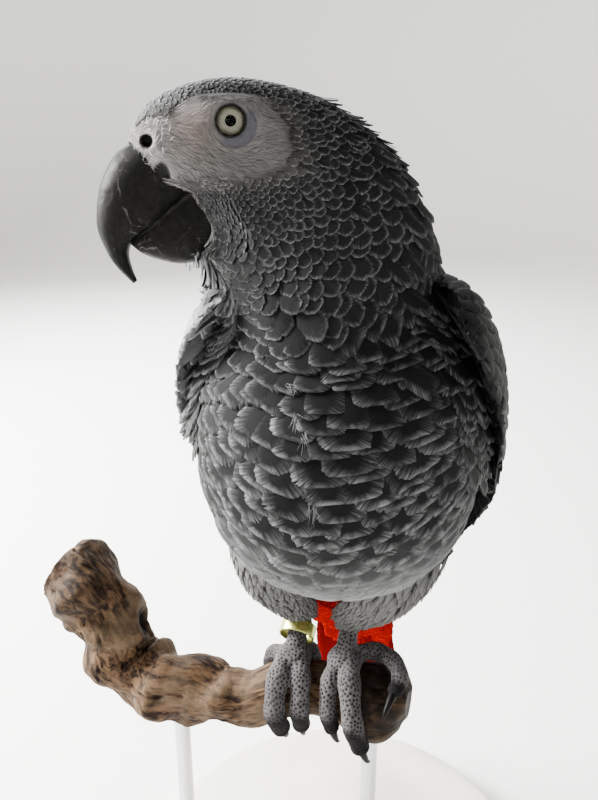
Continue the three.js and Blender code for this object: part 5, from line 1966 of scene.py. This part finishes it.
# ---- materials ---------------------------------------------------------------------------------------
class Material:
    """A principled material, and short ways to wire the patterns that drive it."""

    def __init__(self, name, **sockets):
        self.material = bpy.data.materials.new(name)
        self.material.use_nodes = True
        self.tree = self.material.node_tree
        self.tree.nodes.clear()
        self.output = self.tree.nodes.new("ShaderNodeOutputMaterial")
        self.shader = self.tree.nodes.new("ShaderNodeBsdfPrincipled")
        self.tree.links.new(self.shader.outputs[0], self.output.inputs[0])
        for socket, value in sockets.items():
            self.shader.inputs[socket.replace("_", " ")].default_value = value

    def node(self, kind, settings=None, **inputs):
        made = self.tree.nodes.new("ShaderNode" + kind)
        for key, value in (settings or {}).items():
            setattr(made, key, value)
        for key, value in inputs.items():
            self.put(made, key.replace("_", " "), value)
        return made

    def put(self, node, key, value):
        socket = node.inputs[int(key)] if key.isdigit() else node.inputs[key]
        if isinstance(value, bpy.types.NodeSocket):
            self.tree.links.new(value, socket)
        else:
            socket.default_value = value

    def attribute(self, name, output="Vector"):
        return self.node("Attribute", {"attribute_name": name}).outputs[output]

    def place(self):
        return self.node("TexCoord").outputs["Object"]

    def stretched(self, vector, scale):
        return self.node("Mapping", Vector=vector, Scale=scale).outputs[0]

    def noise(self, vector, scale, detail=3.0, roughness=0.55, distortion=0.0):
        settings = {"Scale": scale, "Detail": detail, "Roughness": roughness, "Distortion": distortion}
        return self.node("TexNoise", Vector=vector, **settings).outputs[0]

    def ramp(self, value, low, high, to_low=0.0, to_high=1.0):
        made = self.node("MapRange", Value=value)
        for key, number in (("From Min", low), ("From Max", high), ("To Min", to_low), ("To Max", to_high)):
            made.inputs[key].default_value = number
        return made.outputs[0]

    def math(self, operation, a, b=0.0):
        made = self.node("Math", {"operation": operation})
        self.put(made, "0", a)
        self.put(made, "1", b)
        return made.outputs[0]

    def blend(self, share, a, b, mode="MIX"):
        made = self.node("Mix", {"data_type": "RGBA", "blend_type": mode})
        for socket, value in ((made.inputs[0], share), (made.inputs[6], a), (made.inputs[7], b)):
            if isinstance(value, bpy.types.NodeSocket):
                self.tree.links.new(value, socket)
            elif hasattr(value, "__len__"):
                socket.default_value = (*value, 1.0)
            else:
                socket.default_value = value
        return made.outputs[2]

    def colour(self, value):
        self.put(self.shader, "Base Color", value)

    def own_colour(self, light):
        """Takes the colour from the mesh's own vertices, times a pattern of light."""
        made = self.node("VectorMath", {"operation": "SCALE"})
        self.put(made, "0", self.attribute("tone", "Color"))
        self.put(made, "Scale", light)
        self.colour(made.outputs[0])

    def rough(self, value):
        self.put(self.shader, "Roughness", value)

    def raised(self, height, distance, strength=1.0):
        bump = self.node("Bump", Height=height, Distance=distance * MM, Strength=strength)
        self.put(self.shader, "Normal", bump.outputs[0])


def feather_material(name, roughness, streak, relief, gloss):
    """Barbs: fine lines that leave the shaft, each a little lighter or darker than its neighbours."""
    m = Material(name, Roughness=roughness, Specular_IOR_Level=gloss)
    lines = m.attribute("vane")
    barbs = m.noise(lines, 1.5, 2.0, 0.5)
    lumps = m.noise(m.place(), 900.0, 2.0)
    from_shaft = m.ramp(m.node("SeparateXYZ", Vector=lines).outputs[1], 0.15, 0.65, 0.12, 1.0)
    light = m.math("MULTIPLY", m.ramp(barbs, 0.32, 0.68, -streak, streak), from_shaft)
    light = m.math("ADD", light, 1.0)
    m.own_colour(m.math("MULTIPLY", light, m.ramp(lumps, 0.2, 0.8, 0.9, 1.1)))
    m.raised(m.math("MULTIPLY", barbs, from_shaft), relief)
    return m.material


def skin_material():
    m = Material("skin", Roughness=0.7, Specular_IOR_Level=0.04)
    place = m.place()
    grain = m.noise(place, 1600.0, 3.0)
    blotch = m.noise(place, 260.0, 3.0)
    fine, broad = m.ramp(grain, 0.25, 0.75, 0.86, 1.14), m.ramp(blotch, 0.25, 0.75, 0.88, 1.12)
    m.own_colour(m.math("MULTIPLY", fine, broad))
    m.raised(grain, 0.12, 0.6)
    return m.material


def bill_material():
    """Charcoal horn: matt, mottled, with fine pale scratches and flakes along its growth."""
    m = Material("bill_horn", Specular_IOR_Level=0.05)
    grain, place = m.attribute("vane"), m.place()
    mottle = m.noise(place, 420.0, 4.0)
    scratches = m.noise(m.stretched(grain, (0.5, 2.6, 1.0)), 1.0, 4.0, 0.7, 0.6)
    lines = m.noise(place, 95.0, 3.0, 0.6, 1.2)
    lines = m.math("ABSOLUTE", m.math("SUBTRACT", lines, 0.5))
    dust = m.noise(place, 1500.0, 2.0, 0.7)
    base = m.blend(m.ramp(mottle, 0.3, 0.7), (0.0014, 0.0014, 0.0013), (0.0048, 0.0048, 0.0045))
    fine = m.math("MULTIPLY", m.ramp(scratches, 0.60, 0.74), m.ramp(dust, 0.4, 0.65))
    base = m.blend(m.math("MULTIPLY", fine, 0.55), base, (0.08, 0.077, 0.07))
    worn = m.math("MULTIPLY", m.ramp(lines, 0.006, 0.0), m.ramp(m.noise(place, 110.0, 2.0), 0.52, 0.66))
    base = m.blend(m.math("MULTIPLY", worn, 0.5), base, (0.12, 0.115, 0.10))
    base = m.blend(m.math("MULTIPLY", m.attribute("tone", "Fac"), 0.6), base, (0.09, 0.087, 0.078))
    m.colour(base)
    m.rough(m.ramp(mottle, 0.2, 0.8, 0.42, 0.62))
    m.raised(m.math("ADD", m.math("MULTIPLY", scratches, 0.6), mottle), 0.10, 0.7)
    return m.material


def tone_material(name, roughness, gloss, scale, relief):
    """A surface that takes its colour from its own vertices, with fine grain."""
    m = Material(name, Roughness=roughness, Specular_IOR_Level=gloss)
    grain = m.noise(m.place(), scale, 3.0)
    m.own_colour(m.ramp(grain, 0.25, 0.75, 0.85, 1.15))
    m.raised(grain, relief, 0.5)
    return m.material


def cornea_material():
    m = Material("cornea")
    m.tree.nodes.remove(m.shader)
    gloss = m.node("BsdfGlossy", Color=(0.05, 0.05, 0.05, 1), Roughness=0.02)
    clear = m.node("BsdfTransparent")
    edge = m.node("Fresnel", IOR=1.38)
    made = m.node("MixShader", **{"0": edge.outputs[0], "1": clear.outputs[0], "2": gloss.outputs[0]})
    m.tree.links.new(made.outputs[0], m.output.inputs[0])
    return m.material


def ring_material():
    """Olive anodised metal, rubbed pale in patches and lightly scratched."""
    m = Material("ring_metal", Metallic=0.85, Specular_IOR_Level=0.5)
    place = m.place()
    worn = m.noise(place, 700.0, 4.0, 0.6)
    base = m.blend(m.ramp(worn, 0.35, 0.7), (0.30, 0.31, 0.055), (0.55, 0.54, 0.20))
    m.colour(base)
    m.rough(m.ramp(worn, 0.2, 0.8, 0.22, 0.45))
    m.raised(worn, 0.03, 0.6)
    return m.material


def wood_material():
    """Tan gnarled wood with darker grain along it, grey weathering and dark hollows."""
    m = Material("wood", Specular_IOR_Level=0.08)
    grain, place = m.attribute("vane"), m.place()
    lines = m.noise(grain, 1.6, 5.0, 0.62, 0.8)
    patches = m.noise(place, 60.0, 4.0)
    fine = m.noise(place, 900.0, 3.0, 0.6)
    base = m.blend(m.ramp(lines, 0.42, 0.60), (0.009, 0.0045, 0.0028), (0.092, 0.052, 0.026))
    base = m.blend(m.math("MULTIPLY", m.ramp(patches, 0.48, 0.62), 0.6), base, (0.12, 0.084, 0.052))
    base = m.blend(m.math("MULTIPLY", m.ramp(fine, 0.5, 0.72), 0.35), base, (0.05, 0.03, 0.016))
    base = m.blend(m.attribute("tone", "Fac"), base, (0.007, 0.0045, 0.003))
    m.colour(base)
    m.rough(m.ramp(lines, 0.2, 0.8, 0.8, 0.6))
    m.raised(m.math("ADD", lines, m.math("MULTIPLY", fine, 0.5)), 0.5, 0.7)
    return m.material


def paint_material():
    m = Material("paint", Roughness=0.45, Coat_Weight=0.1)
    place = m.place()
    roller = m.noise(place, 500.0, 3.0)
    cloud = m.noise(place, 22.0, 4.0)
    m.colour(m.blend(m.ramp(cloud, 0.3, 0.7), (0.58, 0.56, 0.52), (0.66, 0.64, 0.60)))
    m.raised(roller, 0.06, 0.5)
    return m.material


def steel_material():
    m = Material("steel", Metallic=1.0)
    place = m.place()
    brushed = m.noise(m.stretched(place, (1.0, 1.0, 0.05)), 2600.0, 3.0)
    m.colour(m.blend(brushed, (0.45, 0.46, 0.47), (0.62, 0.62, 0.63)))
    m.rough(m.ramp(brushed, 0.2, 0.8, 0.24, 0.4))
    m.raised(brushed, 0.02, 0.4)
    return m.material


def make_materials():
    return {
        "feathers": feather_material("feathers", roughness=0.7, streak=0.6, relief=0.16, gloss=0.04),
        "flight": feather_material("flight_feathers", roughness=0.55, streak=0.22, relief=0.06, gloss=0.09),
        "down": feather_material("down", roughness=0.8, streak=0.16, relief=0.08, gloss=0.02),
        "tail": feather_material("tail_feathers", roughness=0.9, streak=0.3, relief=0.08, gloss=0.0),
        "hair": tone_material("hair", roughness=0.7, gloss=0.08, scale=2000.0, relief=0.01),
        "iris": tone_material("iris", roughness=0.7, gloss=0.0, scale=3000.0, relief=0.02),
        "horn": tone_material("horn", roughness=0.45, gloss=0.06, scale=1400.0, relief=0.05),
        "skin": skin_material(),
        "bill": bill_material(),
        "cornea": cornea_material(),
        "ring": ring_material(),
        "wood": wood_material(),
        "paint": paint_material(),
        "steel": steel_material(),
    }


# ---- stage -------------------------------------------------------------------------------------------
def light(name, at, to, size, power, colour):
    """A square lamp that faces a point: its places and size are in metres, its power in watts."""
    data = bpy.data.lights.new(name, "AREA")
    data.size = size
    data.energy = power
    data.color = colour
    lamp = new_object(data, name)
    lamp.location = at
    direction = np.array(to) - np.array(at)
    flat = math.hypot(direction[0], direction[1])
    lamp.rotation_euler = (math.atan2(flat, -direction[2]), 0, math.atan2(-direction[0], direction[1]))


def stage():
    """A plain pale floor that curves up far behind on all sides, and soft lights."""
    radius, height, flat = 3.2, 2.4, 1.6
    rise = np.linspace(0, math.pi / 2, 20)
    reach = np.concatenate([[0.02, 0.6, 1.1], flat + (radius - flat) * np.sin(rise)])[:, None]
    up = np.concatenate([[0, 0, 0], height * (1 - np.cos(rise))])[:, None]
    turn = turns(96)
    points = np.stack([np.cos(turn) * reach, np.sin(turn) * reach, up + 0 * turn], -1)
    vertices, faces = closed_grid(points)
    faces = faces[: -len(turn)]
    data = bpy.data.meshes.new("floor")
    data.from_pydata(vertices.tolist(), [], faces.tolist())
    data.polygons.foreach_set("use_smooth", np.ones(len(faces), bool))
    m = Material("pale_floor", Roughness=0.9, Specular_IOR_Level=0.1)
    m.colour(m.blend(m.noise(m.place(), 3.0, 4.0), (0.80, 0.79, 0.77), (0.85, 0.84, 0.82)))
    away = m.node("VectorMath", {"operation": "LENGTH"}, **{"0": m.place()}).outputs[1]
    # the floor glows, more the farther out it lies, though it is no lamp: it brightens the backdrop and
    # lights the bird from all round
    m.put(m.shader, "Emission Color", (1.0, 0.99, 0.97, 1.0))
    m.put(m.shader, "Emission Strength", m.ramp(away, 0.5, 2.6, 0.0, 0.66))
    data.materials.append(m.material)
    new_object(data, "floor")
    world = bpy.data.worlds.new("studio")
    world.use_nodes = True
    sky = world.node_tree.nodes["Background"]
    sky.inputs[0].default_value = (0.97, 0.98, 1.0, 1.0)
    sky.inputs[1].default_value = 0.14
    bpy.context.scene.world = world
    middle = (-0.01, 0.0, 0.24)
    light("key", (-0.92, 0.03, 0.59), middle, 0.45, 108.0, (1.0, 0.99, 0.97))
    light("rim", (-0.50, 0.8, 0.8), middle, 0.5, 40.0, (1.0, 1.0, 1.0))
    light("fill", (0.1, -0.9, 0.6), middle, 0.9, 2.5, (0.97, 0.98, 1.0))


def camera():
    """In front of the parrot, a little to its left, and looking down on it."""
    data = bpy.data.cameras.new("camera")
    data.lens, data.sensor_width = 36.0, 36.0
    viewer = new_object(data, "camera")
    viewer.location = (0.0406, -0.2314, 0.306)
    viewer.rotation_euler = (math.radians(70.4), 0, math.radians(13))
    bpy.context.scene.camera = viewer


# ---- assembly ----------------------------------------------------------------------------------------
def main():
    """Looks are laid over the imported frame: the stage, the skin, its coat, then the hard parts."""
    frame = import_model()
    camera()
    stage()
    materials = make_materials()
    body = Sheet(grid_of(lambda a, b: taper(on_body(a, b * 2 * math.pi)), *FINE["body"]))
    breast = breast_sheet(body)
    face = Sheet(grid_of(lambda a, b: head_skin(a * FACE_END, b), *FINE["face"]))
    wings = [wing_outside(side) for _, side in SIDES_OF]
    skin(materials["skin"])
    coat_of_body(body, breast, wings, materials)
    hair_of_face(face, materials["hair"])
    coat_of_thighs(body, materials["down"])
    for (label, side), sheet in zip(SIDES_OF, wings):
        flight_of_wing(label, side, sheet, materials["flight"])
        coat_of_wing(label, side, sheet, materials["flight"])
    tail(materials["tail"])
    loose_plumes(body, breast, materials["feathers"])
    bill(materials)
    for label, side in SIDES_OF:
        eye(label, side, materials)
    claws(materials)
    leg_ring(materials)
    perch(materials)
    stand(materials)
    for node in frame["nodes"].values():
        node.data.materials.clear()
        node.data.materials.append(materials["feathers"])


main()
